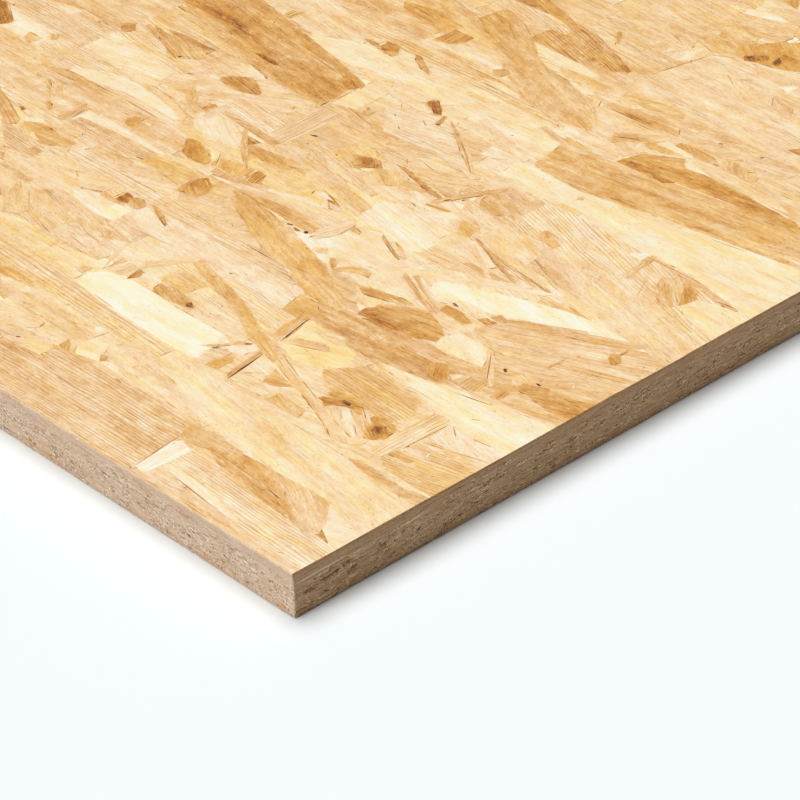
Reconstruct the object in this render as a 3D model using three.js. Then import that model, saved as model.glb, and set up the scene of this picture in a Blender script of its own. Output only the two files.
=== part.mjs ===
// One full sheet of oriented strand board (OSB), lying flat on its lower face.
//
// Wood strands are laid in a mat, pressed between heated platens into one slab and sawn square
// on all four sides, so the sheet is a single solid: two parallel faces, four straight sawn
// edges, and every sharp corner just broken by handling.
//
// Millimetres. X runs along the sheet, the way the face strands lie, Y across it and Z up.
// The origin is the middle of the lower face.

import * as THREE from "three";

const LENGTH = 2440;
const WIDTH = 1220;
const THICKNESS = 18;
const ARRIS = 0.4; // width of the broken corner along every edge, seen square on to a face

// The sheet seen from above, drawn with its four upright corners broken by `arris`.
function sawnOutline(length, width, arris) {
  const x = length / 2;
  const y = width / 2;
  const outline = new THREE.Shape();
  outline.moveTo(-x + arris, -y);
  outline.lineTo(x - arris, -y);
  outline.lineTo(x, -y + arris);
  outline.lineTo(x, y - arris);
  outline.lineTo(x - arris, y);
  outline.lineTo(-x + arris, y);
  outline.lineTo(-x, y - arris);
  outline.lineTo(-x, -y + arris);
  outline.closePath();
  return outline;
}

// The outline raised to the pressed thickness. The bevel of the extrusion breaks the long
// corners above and below; it stands inside the stated length, width and thickness.
function pressedSlab(length, width, thickness, arris) {
  const slab = new THREE.ExtrudeGeometry(sawnOutline(length, width, arris), {
    depth: thickness - 2 * arris,
    bevelEnabled: true,
    bevelSegments: 1,
    bevelThickness: arris,
    bevelSize: arris,
    bevelOffset: -arris,
  });
  slab.translate(0, 0, arris);
  return slab;
}

// Pale softwood strands in a clear resin: matt, warm and never metallic.
const strandBoard = new THREE.MeshStandardMaterial({
  color: "#e8c48c",
  roughness: 0.72,
  metalness: 0,
});

const osbPanel = new THREE.Mesh(
  pressedSlab(LENGTH, WIDTH, THICKNESS, ARRIS),
  strandBoard,
);
osbPanel.name = "osb_panel";

const sheet = new THREE.Group();
sheet.add(osbPanel);

export default sheet;
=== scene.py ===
import math
import random

import bpy
import numpy as np
from mathutils import Matrix, Vector
from mathutils.geometry import delaunay_2d_cdt


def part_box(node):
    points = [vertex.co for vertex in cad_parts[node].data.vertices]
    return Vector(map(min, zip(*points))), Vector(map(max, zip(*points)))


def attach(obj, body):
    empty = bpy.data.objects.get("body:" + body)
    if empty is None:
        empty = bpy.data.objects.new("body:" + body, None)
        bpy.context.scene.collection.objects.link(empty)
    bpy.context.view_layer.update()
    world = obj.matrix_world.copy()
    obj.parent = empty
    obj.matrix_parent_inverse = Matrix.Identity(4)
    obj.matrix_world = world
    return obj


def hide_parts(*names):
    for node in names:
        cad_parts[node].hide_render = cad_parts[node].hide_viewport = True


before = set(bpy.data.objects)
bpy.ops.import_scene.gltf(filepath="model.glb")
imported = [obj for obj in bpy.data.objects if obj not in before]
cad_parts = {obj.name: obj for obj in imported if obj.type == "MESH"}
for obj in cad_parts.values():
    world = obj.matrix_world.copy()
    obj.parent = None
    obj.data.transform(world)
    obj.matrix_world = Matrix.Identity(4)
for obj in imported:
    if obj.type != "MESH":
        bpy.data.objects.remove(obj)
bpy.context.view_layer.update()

# ---- Camera ------------------------------------------------------------------------------
# A long lens looks down on the near corner of the sheet, where the end at +X meets the long
# edge at -Y. The corner's place in the frame and its distance set where the camera stands.
low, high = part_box("osb_panel")
AZIMUTH = math.radians(48.77)
ELEVATION = math.radians(33.13)
ROLL = math.radians(-2.40)
IMAGE_PX = 800
FOCAL_PX = 3413
CORNER_PX = (292.25, 574.47)
CORNER_DISTANCE = 1.1057
SENSOR_WIDTH = 36

near_corner = Vector((high.x, low.y, high.z))
forward = Vector((-math.sin(AZIMUTH) * math.cos(ELEVATION),
                  math.cos(AZIMUTH) * math.cos(ELEVATION),
                  -math.sin(ELEVATION)))
level_right = Vector((math.cos(AZIMUTH), math.sin(AZIMUTH), 0))
level_up = level_right.cross(forward)
right = math.cos(ROLL) * level_right + math.sin(ROLL) * level_up
up = math.cos(ROLL) * level_up - math.sin(ROLL) * level_right
right_share = (CORNER_PX[0] - IMAGE_PX / 2) / FOCAL_PX
down_share = (CORNER_PX[1] - IMAGE_PX / 2) / FOCAL_PX
to_corner = CORNER_DISTANCE * (forward + right_share * right - down_share * up)

camera = bpy.data.objects.new("camera", bpy.data.cameras.new("camera"))
camera.data.sensor_width = SENSOR_WIDTH
camera.data.lens = FOCAL_PX / IMAGE_PX * SENSOR_WIDTH
camera.data.clip_start = 0.05
camera.data.clip_end = 50
turn = Matrix((right, up, -forward)).transposed().to_4x4()
camera.matrix_world = Matrix.Translation(near_corner - to_corner) @ turn
bpy.context.collection.objects.link(camera)
bpy.context.scene.camera = camera


# ---- Floor and studio light --------------------------------------------------------------
# A plain white floor and a pale backdrop round it, under a wide soft lamp nearly overhead. A
# weaker lamp, low on the long edge's side, lights that edge and rakes the relief; the end of
# the sheet stays in shade.
def linear(colour):
    """A hex sRGB colour as linear RGBA."""
    levels = [int(colour[k:k + 2], 16) / 255 for k in (1, 3, 5)]
    return [c / 12.92 if c <= 0.04045 else ((c + 0.055) / 1.055) ** 2.4 for c in levels] + [1]


def add_node(tree, kind, **values):
    """Adds a shader node. Lower-case values are its settings, the others feed its inputs.

    An input goes by name, or by number as in _0. It is fed by a plain value, by a socket, or by
    the first output of a node.
    """
    node = tree.nodes.new("ShaderNode" + kind)
    for name, value in values.items():
        if name[0].islower():
            setattr(node, name, value)
            continue
        socket = node.inputs[int(name[1:]) if name[0] == "_" else name.replace("_", " ")]
        if isinstance(value, bpy.types.Node):
            value = value.outputs[0]
        if isinstance(value, bpy.types.NodeSocket):
            tree.links.new(value, socket)
        else:
            socket.default_value = value
    return node


FLOOR_HALF = 12
FLOOR_WHITE = "#f8fdfe"
FLOOR_BOUNCE = "#e9eef0"
SKY = "#fcfdff"
SKY_STRENGTH = 0.10
# The sine of the angle that the backdrop rises to above the floor, as gloss shows it.
BACKDROP_RISE = 0.2
# Where each lamp stands, its strength, and how wide it looks from the sheet, in degrees.
LAMPS = {"overhead_softbox": ((-0.24, 0.06, 1.0), 2.40, 46),
         "low_side_softbox": ((-0.20, -1.0, 0.5), 1.10, 20)}

floor_mesh = bpy.data.meshes.new("floor")
corners = [(-FLOOR_HALF, -FLOOR_HALF, 0), (FLOOR_HALF, -FLOOR_HALF, 0),
           (FLOOR_HALF, FLOOR_HALF, 0), (-FLOOR_HALF, FLOOR_HALF, 0)]
floor_mesh.from_pydata(corners, [], [(0, 1, 2, 3)])
floor = bpy.data.objects.new("floor", floor_mesh)
bpy.context.collection.objects.link(floor)
paint = bpy.data.materials.new("matt_white_floor")
paint.use_nodes = True
tree = paint.node_tree
tree.nodes.clear()
ray = add_node(tree, "LightPath").outputs
seen = add_node(tree, "Math", operation="MAXIMUM", _0=ray["Is Camera Ray"], _1=ray["Is Glossy Ray"])
seen = add_node(tree, "Math", operation="MAXIMUM", _0=seen, _1=ray["Is Transmission Ray"])
shade = add_node(tree, "Mix", data_type="RGBA", _0=seen, _6=linear(FLOOR_BOUNCE), _7=linear(FLOOR_WHITE))
matt = add_node(tree, "BsdfDiffuse", Color=shade.outputs[2])
add_node(tree, "OutputMaterial", Surface=matt)
floor_mesh.materials.append(paint)

world = bpy.data.worlds.new("studio_sky")
world.use_nodes = True
tree = world.node_tree
ray = add_node(tree, "LightPath").outputs
aim = add_node(tree, "TexCoord").outputs["Generated"]
rise = add_node(tree, "SeparateXYZ", Vector=aim).outputs["Z"]
backdrop = add_node(tree, "Math", operation="LESS_THAN", _0=rise, _1=BACKDROP_RISE)
seen = add_node(tree, "Math", operation="MULTIPLY", _0=ray["Is Glossy Ray"], _1=backdrop)
seen = add_node(tree, "Math", operation="MAXIMUM", _0=seen, _1=ray["Is Camera Ray"])
seen = add_node(tree, "Math", operation="MAXIMUM", _0=seen, _1=ray["Is Transmission Ray"])
shade = add_node(tree, "Mix", data_type="RGBA", _0=seen, _6=linear(SKY), _7=linear(FLOOR_WHITE))
strength = add_node(tree, "Mix", _0=seen, _2=SKY_STRENGTH, _3=1.0)
tree.links.new(shade.outputs[2], tree.nodes["Background"].inputs["Color"])
tree.links.new(strength.outputs[0], tree.nodes["Background"].inputs["Strength"])
bpy.context.scene.world = world
for name, (stands, strength, width) in LAMPS.items():
    lamp = bpy.data.objects.new(name, bpy.data.lights.new(name, "SUN"))
    lamp.data.energy = strength
    lamp.data.angle = math.radians(width)
    lamp.rotation_mode = "QUATERNION"
    lamp.rotation_quaternion = Vector(stands).to_track_quat("Z", "Y")
    bpy.context.collection.objects.link(lamp)
bpy.context.scene.view_settings.view_transform = "Standard"


# ---- Upper face: the pressed mat of strands ------------------------------------------------
# Softwood strands, 60 to 120 mm long and 0.6 mm thick, lie one over another, mostly along the
# sheet, and are pressed flat in clear resin. Each one that shows is a facet of its own with a
# step down to its neighbour; open gaps between them go deeper. Sizes here are millimetres.
MM = 0.001
LENGTH = (high.x - low.x) / MM
WIDTH = (high.y - low.y) / MM
THICKNESS = (high.z - low.z) / MM
ARRIS = 0.4
# How thick the plates of the faces are, and how deep the open gaps go.
SKIN_DEPTH = 2.0
VOID_DEPTH = 0.75
# Heights of the relief are kept to whole steps, so that neighbouring facets meet exactly.
STEPS_PER_MM = 200
# A look is tone (0 white sapwood to 1 resin brown), how golden (0 pinkish), a seed of its own,
# how strongly the growth rings show, their spacing and how far they wander over the strand.
# The floors of the open gaps take a darker tone than most strands: painted shade in the gaps. The rims
# round the faces take the same look as their own wood.
GAP_SHADE_AND_RIM_LOOK = (0.45, 0.0, 0.5, 0.0, 2.0, 0.0)


class Strand:
    """One strand: its outline on the face, its plane in the mat and the look of its wood.

    `soft` is how far its tone runs into its neighbours' where the press has smeared them.
    """

    def __init__(self, outline, origin, direction, level, tilt, look, soft=0.0):
        self.outline = outline
        self.origin = origin
        self.direction = direction
        self.level = level
        self.tilt = tilt
        self.look = look
        self.soft = soft


def split_outline(rng, start, end, widths, slants, ragged, step, bow=0.0):
    """Long sides split along the grain, ends cut across it and a little splintered.

    A long side has a corner every `step` or so, and bows out by `bow` at its middle.
    """
    run = math.hypot(end[0] - start[0], end[1] - start[1])
    c, s = (end[0] - start[0]) / run, (end[1] - start[1]) / run
    parts = max(2, round(run / step))

    def at(u, v):
        v += bow * 4 * (u / run) * (1 - u / run)
        return start[0] + c * u - s * v, start[1] + s * u + c * v

    def side(sign):
        points = []
        for k in range(parts + 1):
            t = k / parts
            half = 0.5 * (widths[0] * (1 - t) + widths[1] * t)
            wander = rng.gauss(0, 0.02 * half + 0.12) if 0 < k < parts else 0
            slant = slants[0] * (1 - t) + slants[1] * t
            points.append((t * run + 0.5 * sign * slant, sign * half + wander))
        return points

    def teeth(a, b, outwards):
        """Splinters between the two corners of an end: across the grain, then along it."""
        width = abs(b[1] - a[1])
        count = min(3, int(width / 6))
        points, reach = [], 0.0
        stops = sorted(rng.uniform(0.15, 0.85) for _ in range(count))
        for t in stops:
            base = a[0] + (b[0] - a[0]) * t
            v = a[1] + (b[1] - a[1]) * t
            points.append((base + outwards * reach, v))
            reach = rng.uniform(0, ragged)
            points.append((base + outwards * reach, v))
        return points

    lower, upper = side(-1), side(1)
    loop = lower + teeth(lower[-1], upper[-1], 1) + upper[::-1] + teeth(upper[0], lower[0], -1)
    return [at(u, v) for u, v in loop]


def clip(outline, box):
    """The part of an outline inside an upright box (low x, low y, high x, high y)."""
    for axis, limit, sign in ((0, box[0], 1), (1, box[1], 1), (0, box[2], -1), (1, box[3], -1)):
        kept = []
        for k, b in enumerate(outline):
            a = outline[k - 1]
            inside_a = sign * (a[axis] - limit) >= 0
            inside_b = sign * (b[axis] - limit) >= 0
            if inside_a != inside_b:
                t = (limit - a[axis]) / (b[axis] - a[axis])
                kept.append((a[0] + t * (b[0] - a[0]), a[1] + t * (b[1] - a[1])))
            if inside_b:
                kept.append(b)
        outline = kept
        if len(outline) < 3:
            return []
    return outline


def borders_of(triangles, shown, count):
    """Each edge between two strands, once: its ends, the upper strand (left), the lower (right)."""
    a = triangles[:, (0, 1, 2)].ravel().astype(np.int64)
    b = triangles[:, (1, 2, 0)].ravel().astype(np.int64)
    left = np.repeat(shown, 3)
    key = a * count + b
    order = np.argsort(key)
    place = np.searchsorted(key[order], b * count + a).clip(max=len(key) - 1)
    twin = order[place]
    right = np.where(key[twin] == b * count + a, left[twin], -1)
    keep = left > right
    return list(zip(a[keep].tolist(), b[keep].tolist(), left[keep].tolist(), right[keep].tolist()))


def straightened(points, borders, slack=0.015):
    """Drops points that lie on a straight stretch of one border, where a hidden strand crossed."""
    meets, leaving, coming = {}, {}, {}
    for k, (a, b, upper, lower) in enumerate(borders):
        leaving[a] = k
        coming[b] = k
        meets[a] = meets.get(a, 0) + 1
        meets[b] = meets.get(b, 0) + 1

    def passes(v):
        if meets[v] != 2 or v not in leaving or v not in coming:
            return False
        return borders[leaving[v]][2:] == borders[coming[v]][2:]

    free = {v for v in meets if passes(v)}
    used, kept = set(), []

    def follow(k):
        chain = [borders[k][0]]
        while True:
            used.add(k)
            chain.append(borders[k][1])
            if chain[-1] not in free or leaving[chain[-1]] in used:
                break
            k = leaving[chain[-1]]
        corners = [chain[0]]
        for v, after in zip(chain[1:-1], chain[2:]):
            p, q, r = points[corners[-1]], points[v], points[after]
            reach = math.dist(p, r)
            off = abs((q[0] - p[0]) * (r[1] - p[1]) - (q[1] - p[1]) * (r[0] - p[0]))
            if reach < slack or off > slack * reach:
                corners.append(v)
        corners.append(chain[-1])
        kept.extend((a, b, *borders[k][2:]) for a, b in zip(corners, corners[1:]))

    for k, border in enumerate(borders):
        if border[0] not in free:
            follow(k)
    for k in range(len(borders)):
        if k not in used:
            follow(k)
    return kept


def height(strand, point):
    """How far a strand's surface lies above (below, if negative) the sheet's flat face."""
    if strand is None:
        return -VOID_DEPTH
    away = (point[0] - strand.origin[0], point[1] - strand.origin[1])
    return min(-0.01, strand.level + strand.tilt[0] * away[0] + strand.tilt[1] * away[1])


def covers(loop, places):
    """Which of the places lie inside a closed loop."""
    inside = np.zeros(len(places), bool)
    x, y = places[:, 0], places[:, 1]
    for (ax, ay), (bx, by) in zip(loop, loop[1:] + loop[:1]):
        if ay != by:
            passed = (ay > y) != (by > y)
            inside ^= passed & (x < (bx - ax) * (y - ay) / (by - ay) + ax)
    return inside


# Inside the close-up outline the plan has a point this often, in mm.
CLOSE_STEP = 2.4
# Corners closer than this, in mm, are one corner: when strands are laid, then once they are clean.
SAME_PLACE = 1e-5
SAME_POINT = 1e-6


def laid(strands, outline, box, close_up, rng):
    """Lays the strands over one another inside the outline.

    Gives the plan's points, its triangles with the strand that each shows, the borders between
    strands, and the strands by number. Number 0 is the open gap that nothing covers. The points
    inside the close_up outline carry stains and soft borders.
    """
    loops, layers = [list(outline)], [None]
    for strand in strands:
        loop = clip(strand.outline, box)
        if loop:
            loops.append(loop)
            layers.append(strand)
    points, edges = [], []
    for loop in loops:
        first = len(points)
        edges += [(first + k, first + (k + 1) % len(loop)) for k in range(len(loop))]
        points += loop
    found = delaunay_2d_cdt([Vector(p) for p in points], edges, [], 1, SAME_PLACE, False)
    plan = np.array([tuple(p) for p in found[0]])
    triangles = np.array(found[2])
    middles = plan[triangles].mean(axis=1)
    order = np.argsort(middles[:, 0])
    sorted_x = middles[order, 0]
    shown = np.full(len(triangles), -1)
    for number, loop in enumerate(loops):
        xs, ys = [p[0] for p in loop], [p[1] for p in loop]
        near = order[np.searchsorted(sorted_x, min(xs)):np.searchsorted(sorted_x, max(xs))]
        near = near[(middles[near, 1] > min(ys)) & (middles[near, 1] < max(ys))]
        near = near[covers(loop, middles[near])]
        shown[near if number == 0 else near[shown[near] >= 0]] = number
    points = [tuple(p) for p in plan.tolist()]
    triangles = triangles[shown >= 0]
    borders = borders_of(triangles, shown[shown >= 0], len(points))
    borders = straightened(points, borders)

    crossed = []
    for a, b, upper, lower in borders:
        if lower >= 0:
            rise_a = height(layers[upper], points[a]) - height(layers[lower], points[a])
            rise_b = height(layers[upper], points[b]) - height(layers[lower], points[b])
            if rise_a * rise_b < -1e-6:
                t = rise_a / (rise_a - rise_b)
                middle = len(points)
                points.append(tuple(p + t * (q - p) for p, q in zip(points[a], points[b])))
                crossed += [(a, middle, upper, lower), (middle, b, upper, lower)]
                continue
        crossed.append((a, b, upper, lower))
    used = sorted({v for border in crossed for v in border[:2]})
    number = {v: k for k, v in enumerate(used)}
    points = [points[v] for v in used]
    borders = [(number[a], number[b], upper, lower) for a, b, upper, lower in crossed]

    if close_up:
        near = covers(close_up, np.array(points)).tolist()
        shorter = []
        for a, b, upper, lower in borders:
            run = math.dist(points[a], points[b])
            parts = math.ceil(run / CLOSE_STEP) if near[a] or near[b] else 1
            stops = [a]
            for k in range(1, parts):
                stops.append(len(points))
                points.append(tuple(p + k / parts * (q - p) for p, q in zip(points[a], points[b])))
            shorter += [(p, q, upper, lower) for p, q in zip(stops, stops[1:] + [b])]
        borders = shorter
        xs, ys = [p[0] for p in close_up], [p[1] for p in close_up]
        columns = np.arange(max(min(xs), box[0]) + 1, min(max(xs), box[2]) - 1, CLOSE_STEP)
        rows = np.arange(max(min(ys), box[1]) + 1, min(max(ys), box[3]) - 1, CLOSE_STEP)
        grid = [(x + rng.uniform(-0.6, 0.6), y + rng.uniform(-0.6, 0.6)) for x in columns for y in rows]
        inside = covers(close_up, np.array(grid))
        points += [p for p, kept in zip(grid, inside) if kept]

    edges = [(a, b) for a, b, upper, lower in borders]
    found = delaunay_2d_cdt([Vector(p) for p in points], edges, [], 1, SAME_POINT, True)
    plan = [tuple(p) for p in found[0]]
    beside = {}
    for (p, q), sources in zip(found[1], found[4]):
        for k in sources:
            a, b, upper, lower = borders[k]
            ahead = sum((points[b][i] - points[a][i]) * (plan[q][i] - plan[p][i]) for i in (0, 1))
            left, right = (upper, lower) if ahead > 0 else (lower, upper)
            if (p, q) not in beside:
                beside[p, q], beside[q, p] = left, right
            elif beside[p, q] == right:
                beside[p, q] = left
            else:
                beside[q, p] = right
    triangles = [tuple(t) for t in found[2]]
    across = {}
    for k, t in enumerate(triangles):
        for a, b in zip(t, t[1:] + t[:1]):
            across[a, b] = k
    shown = [None] * len(triangles)
    ready = []
    for k, t in enumerate(triangles):
        for a, b in zip(t, t[1:] + t[:1]):
            if (a, b) in beside:
                shown[k] = beside[a, b]
        if shown[k] is not None:
            ready.append(k)
    for k in ready:
        t = triangles[k]
        for a, b in zip(t, t[1:] + t[:1]):
            other = across.get((b, a))
            if other is not None and shown[other] is None and (a, b) not in beside:
                shown[other] = shown[k]
                ready.append(other)
    faces = [(t, s) for t, s in zip(triangles, shown) if s is not None and s >= 0]
    labels = np.array([s for t, s in faces])
    borders = borders_of(np.array([t for t, s in faces]), labels, len(plan))
    return plan, faces, borders, layers


# Along an arris the outline wanders in steps of some 12 mm, with a chip in every 140 mm or so.
ARRIS_STEP = 12
CHIP_EVERY = 140


def sheet_outline(rng, box, arrises):
    """A box's outline. A side with an arris is set in by it and here and there chipped."""
    lows = (box[0] + arrises[0], box[1] + arrises[1])
    highs = (box[2] - arrises[2], box[3] - arrises[3])
    walk = [(lows[0], lows[1]), (highs[0], lows[1]), (highs[0], highs[1]), (lows[0], highs[1])]
    inwards = [(0, 1), (-1, 0), (0, -1), (1, 0)]
    arris_of = [arrises[1], arrises[2], arrises[3], arrises[0]]
    points = []
    for k, (a, b) in enumerate(zip(walk, walk[1:] + walk[:1])):
        points.append(a)
        if not arris_of[k]:
            continue
        run = math.dist(a, b)
        c, s = (b[0] - a[0]) / run, (b[1] - a[1]) / run

        def at(u, inset):
            inset -= arris_of[k]
            return a[0] + c * u + inwards[k][0] * inset, a[1] + s * u + inwards[k][1] * inset

        u = rng.uniform(4, 20)
        while u < run - 24:
            if rng.random() < ARRIS_STEP / CHIP_EVERY:
                wide, deep = rng.uniform(1.5, 7), rng.uniform(0.6, 1.3)
                points += [at(u, 0.3), at(u + wide * rng.uniform(0.2, 0.5), deep),
                           at(u + wide * rng.uniform(0.6, 0.8), deep * rng.uniform(0.6, 1)),
                           at(u + wide, 0.35)]
                u += wide
            else:
                points.append(at(u, rng.uniform(0.22, 0.5)))
            u += rng.uniform(5, 22)
    return points


# The rim keeps this far below the front's lowest strand, and a corner of it is this wide.
RIM_DROP = 0.02
CORNER_REACH = 0.12
# What a face of a plate is: a strand's front, a step between strands, or rim along x or y.
FRONT, STEP, RIM_X, RIM_Y = range(4)


def skin(name, strands, box, sides, depth, seat, materials, rng, close_up=(), stains=()):
    """A closed plate whose front is the laid strands and whose back is flat, `depth` behind.

    `sides` gives, for low x, low y, high x and high y, how wide the broken arris is and how far
    the back is drawn in there, for a mitre. `materials` are for the front, for the rim along x
    and for the rim along y; a sawn plate has one for all.
    """
    outline = sheet_outline(rng, box, [side[0] for side in sides])
    points, faces, borders, layers = laid(strands, outline, box, close_up, rng)
    level = {}

    def step_of(number, v):
        key = number, v
        if key not in level:
            level[key] = round(height(layers[number], points[v]) * STEPS_PER_MM)
        return level[key]

    columns = [set() for _ in points]
    for corners, number in faces:
        for v in corners:
            columns[v].add(step_of(number, v))
    columns = [sorted(column) for column in columns]
    places, at = [], {}

    def vertex(v, step):
        key = v, step
        if key not in at:
            at[key] = len(places)
            places.append((*points[v], step / STEPS_PER_MM))
        return at[key]

    def climb(v, first, last):
        """The vertices at one place of the plan from one step to another, up or down."""
        steps = [z for z in columns[v] if min(first, last) <= z <= max(first, last)]
        return [vertex(v, z) for z in (steps if first <= last else reversed(steps))]

    made, kinds, shown = [], [], []
    for corners, number in faces:
        made.append([vertex(v, step_of(number, v)) for v in corners])
        kinds.append(FRONT)
        shown.append(number)

    following = {}
    for a, b, upper, lower in borders:
        top_a, top_b = step_of(upper, a), step_of(upper, b)
        if lower < 0:
            following[a] = (b, upper)
            continue
        low_a, low_b = step_of(lower, a), step_of(lower, b)
        if top_a == low_a and top_b == low_b:
            continue
        rises = top_a + top_b > low_a + low_b
        wall = climb(b, low_b, top_b) + climb(a, top_a, low_a)
        made.append(wall)
        kinds.append(STEP)
        shown.append(upper if rises else lower)

    start = min(following, key=lambda v: points[v][0] + points[v][1])
    loop, v = [start], following[start][0]
    while v != start and len(loop) < len(following):
        loop.append(v)
        v = following[v][0]
    # Two rings go round behind the front: one where the rim meets the next plate, one at the back.
    rings = ([], [])
    for v in loop:
        x, y = points[v]
        gaps = (x - box[0], y - box[1], box[2] - x, box[3] - y)
        inset = min(gaps)
        place = list(points[v])
        for k in range(4):
            if gaps[k] < inset + (CORNER_REACH if sides[k][0] else 0.001):
                place[k % 2] = box[k]
        z = min(-inset, columns[v][0] / STEPS_PER_MM) - RIM_DROP
        rings[0].append(len(places))
        places.append((*place, z))
        for k in range(4):
            reach = abs(place[k % 2] - box[k])
            if reach < 2 * sides[k][1]:
                place[k % 2] = box[k] + (sides[k][1] + reach / 2) * (1 if k < 2 else -1)
        rings[1].append(len(places))
        places.append((*place, -depth))
    for k, v in enumerate(loop):
        after = (k + 1) % len(loop)
        number = following[v][1]
        top_a, top_b = step_of(number, v), step_of(number, loop[after])
        rim = [rings[0][k], rings[0][after]]
        rim += [vertex(loop[after], z) for z in columns[loop[after]] if z <= top_b]
        rim += [vertex(v, z) for z in reversed(columns[v]) if z <= top_a]
        made += [rim, [rings[1][k], rings[1][after], rings[0][after], rings[0][k]]]
        across = abs(places[rings[0][after]][0] - places[rings[0][k]][0])
        kinds += [RIM_X if across > 0.01 else RIM_Y] * 2
        shown += [number, number]
    made.append(rings[1][::-1])
    kinds.append(RIM_X)
    shown.append(0)

    mesh = bpy.data.meshes.new(name)
    mesh.from_pydata(places, [], made)
    for material in materials:
        mesh.materials.append(material)
    counts = np.array([len(face) for face in made])
    kinds, shown = np.array(kinds), np.array(shown)
    used = [0, 0, 1, 2] if len(materials) > 1 else [0] * 4
    mesh.polygons.foreach_set("material_index", np.array(used)[kinds].astype(np.int32))
    corner_place = np.array(places)[np.concatenate([np.array(face) for face in made])]
    corner_kind, corner_strand = np.repeat(kinds, counts), np.repeat(shown, counts)

    lie = np.array([(0, 0, 1, 0) if s is None else (*s.origin, *s.direction) for s in layers])
    lie = lie[corner_strand]
    away = corner_place[:, :2] - lie[:, :2]
    along = away[:, 0] * lie[:, 2] + away[:, 1] * lie[:, 3]
    over = away[:, 1] * lie[:, 2] - away[:, 0] * lie[:, 3]
    side_on = (corner_kind >= RIM_X) | (len(materials) == 1)
    turn = np.array(seat.to_3x3())
    in_sheet = corner_place @ turn.T + np.array(seat.translation) / MM
    along = np.where(side_on, in_sheet[:, 0] + in_sheet[:, 1], along)
    over = np.where(side_on, THICKNESS - in_sheet[:, 2], over)
    grain = mesh.uv_layers.new(name="grain_mm")
    grain.uv.foreach_set("vector", np.stack([along, over], 1).astype(np.float32).ravel())
    span = (box[2] - box[0], box[3] - box[1])
    flat = (corner_place[:, :2] - (box[0], box[1])) / span
    bake = mesh.uv_layers.new(name="OFBake")
    bake.uv.foreach_set("vector", flat.astype(np.float32).ravel())

    # Wood: each face has its strand's look; near a soft border the tone runs into the next one's.
    looks = np.array([GAP_SHADE_AND_RIM_LOOK if s is None else s.look for s in layers])
    tones = looks[shown][:, :2]
    tones[kinds >= RIM_X] = GAP_SHADE_AND_RIM_LOOK[:2]
    tones = np.repeat(tones, counts, axis=0)
    if close_up:
        plan = np.array(points)
        fine = covers(close_up, plan)
        stain = np.zeros(len(plan))
        for x, y, half_long, half_wide, lean, strength in stains:
            u, v = plan[:, 0] - x, plan[:, 1] - y
            c, n = math.cos(lean), math.sin(lean)
            away = ((u * c + v * n) / half_long) ** 2 + ((v * c - u * n) / half_wide) ** 2
            stain += strength * np.exp(-away)
        soft = np.array([0.0 if s is None else s.soft for s in layers])
        total, weight = np.zeros((len(plan), 2)), np.zeros(len(plan))
        for corners, number in faces:
            if soft[number]:
                for v in corners:
                    if fine[v]:
                        total[v] += looks[number, :2]
                        weight[v] += 1
        mean = total / np.maximum(weight, 1)[:, None]
        place = np.concatenate([corners for corners, number in faces])
        first = len(place)
        own = soft[np.repeat([number for corners, number in faces], 3)] * (weight[place] > 0)
        tones[:first] += own[:, None] * (mean[place] - tones[:first])
        tones[:first, 0] += stain[place] * (own > 0)
    wood = mesh.attributes.new("tone_and_gold", "FLOAT_VECTOR", "CORNER")
    tones = np.concatenate([tones, np.zeros((len(tones), 1))], axis=1)
    wood.data.foreach_set("vector", tones.astype(np.float32).ravel())
    looks = looks[shown]
    looks[kinds >= RIM_X] = GAP_SHADE_AND_RIM_LOOK
    figure = mesh.attributes.new("figure", "FLOAT_VECTOR", "FACE")
    figure.data.foreach_set("vector", looks[:, 3:6].astype(np.float32).ravel())
    # Steps between strands and the floors of open gaps are flagged, and the wood darkens them: partly the
    # cut side of a strand, partly painted shade in the steps and gaps.
    wall = mesh.attributes.new("seed_and_shaded_step", "FLOAT_VECTOR", "FACE")
    side = ((kinds == STEP) | (shown == 0)) & (kinds < RIM_X)
    seeds_and_shaded_steps = np.stack([looks[:, 2], side, 0 * side], 1)
    wall.data.foreach_set("vector", seeds_and_shaded_steps.astype(np.float32).ravel())

    piece = bpy.data.objects.new(name, mesh)
    mesh.transform(seat @ Matrix.Diagonal((MM, MM, MM, 1)))
    bpy.context.collection.objects.link(piece)
    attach(piece, "root")
    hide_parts("osb_panel")


def wood_look(rng):
    """The look of one strand's wood: mostly pale sapwood, with some amber and some white."""
    tone = min(0.48, max(0.08, rng.gauss(0.25, 0.06)))
    kind = rng.random()
    if kind < 0.09:
        tone = rng.uniform(0.42, 0.62)
    elif kind < 0.19:
        tone = rng.uniform(0.02, 0.10)
    lined = rng.random() < 0.35
    contrast = rng.uniform(0.35, 0.8) if lined else rng.uniform(0.05, 0.3)
    spacing = rng.uniform(1.0, 2.2) if lined else rng.uniform(2.0, 5.0)
    wander = rng.uniform(0.3, 1.5) if lined else rng.uniform(2, 9)
    return tone, min(0.8, max(0.0, rng.gauss(0.32, 0.2))), rng.random(), contrast, spacing, wander


# Share of the strands, length, width and how ragged the ends are, all in millimetres.
STRAND_KINDS = (
    (0.34, (75, 130), (15, 36), 2.5),
    (0.36, (60, 115), (6, 15), 1.8),
    (0.18, (25, 95), (1.5, 5), 0.8),
    (0.12, (7, 26), (3, 12), 0.8),
)
# How far, in radians, the strands' directions scatter, and the share that lies just anyhow.
SPREAD = 0.20
ASTRAY = 0.08
# Levels in the mat: the first strands down lie deepest, the last ones nearly flush.
STREWN_FROM = -0.34
STREWN_RISE = 0.28


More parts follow.
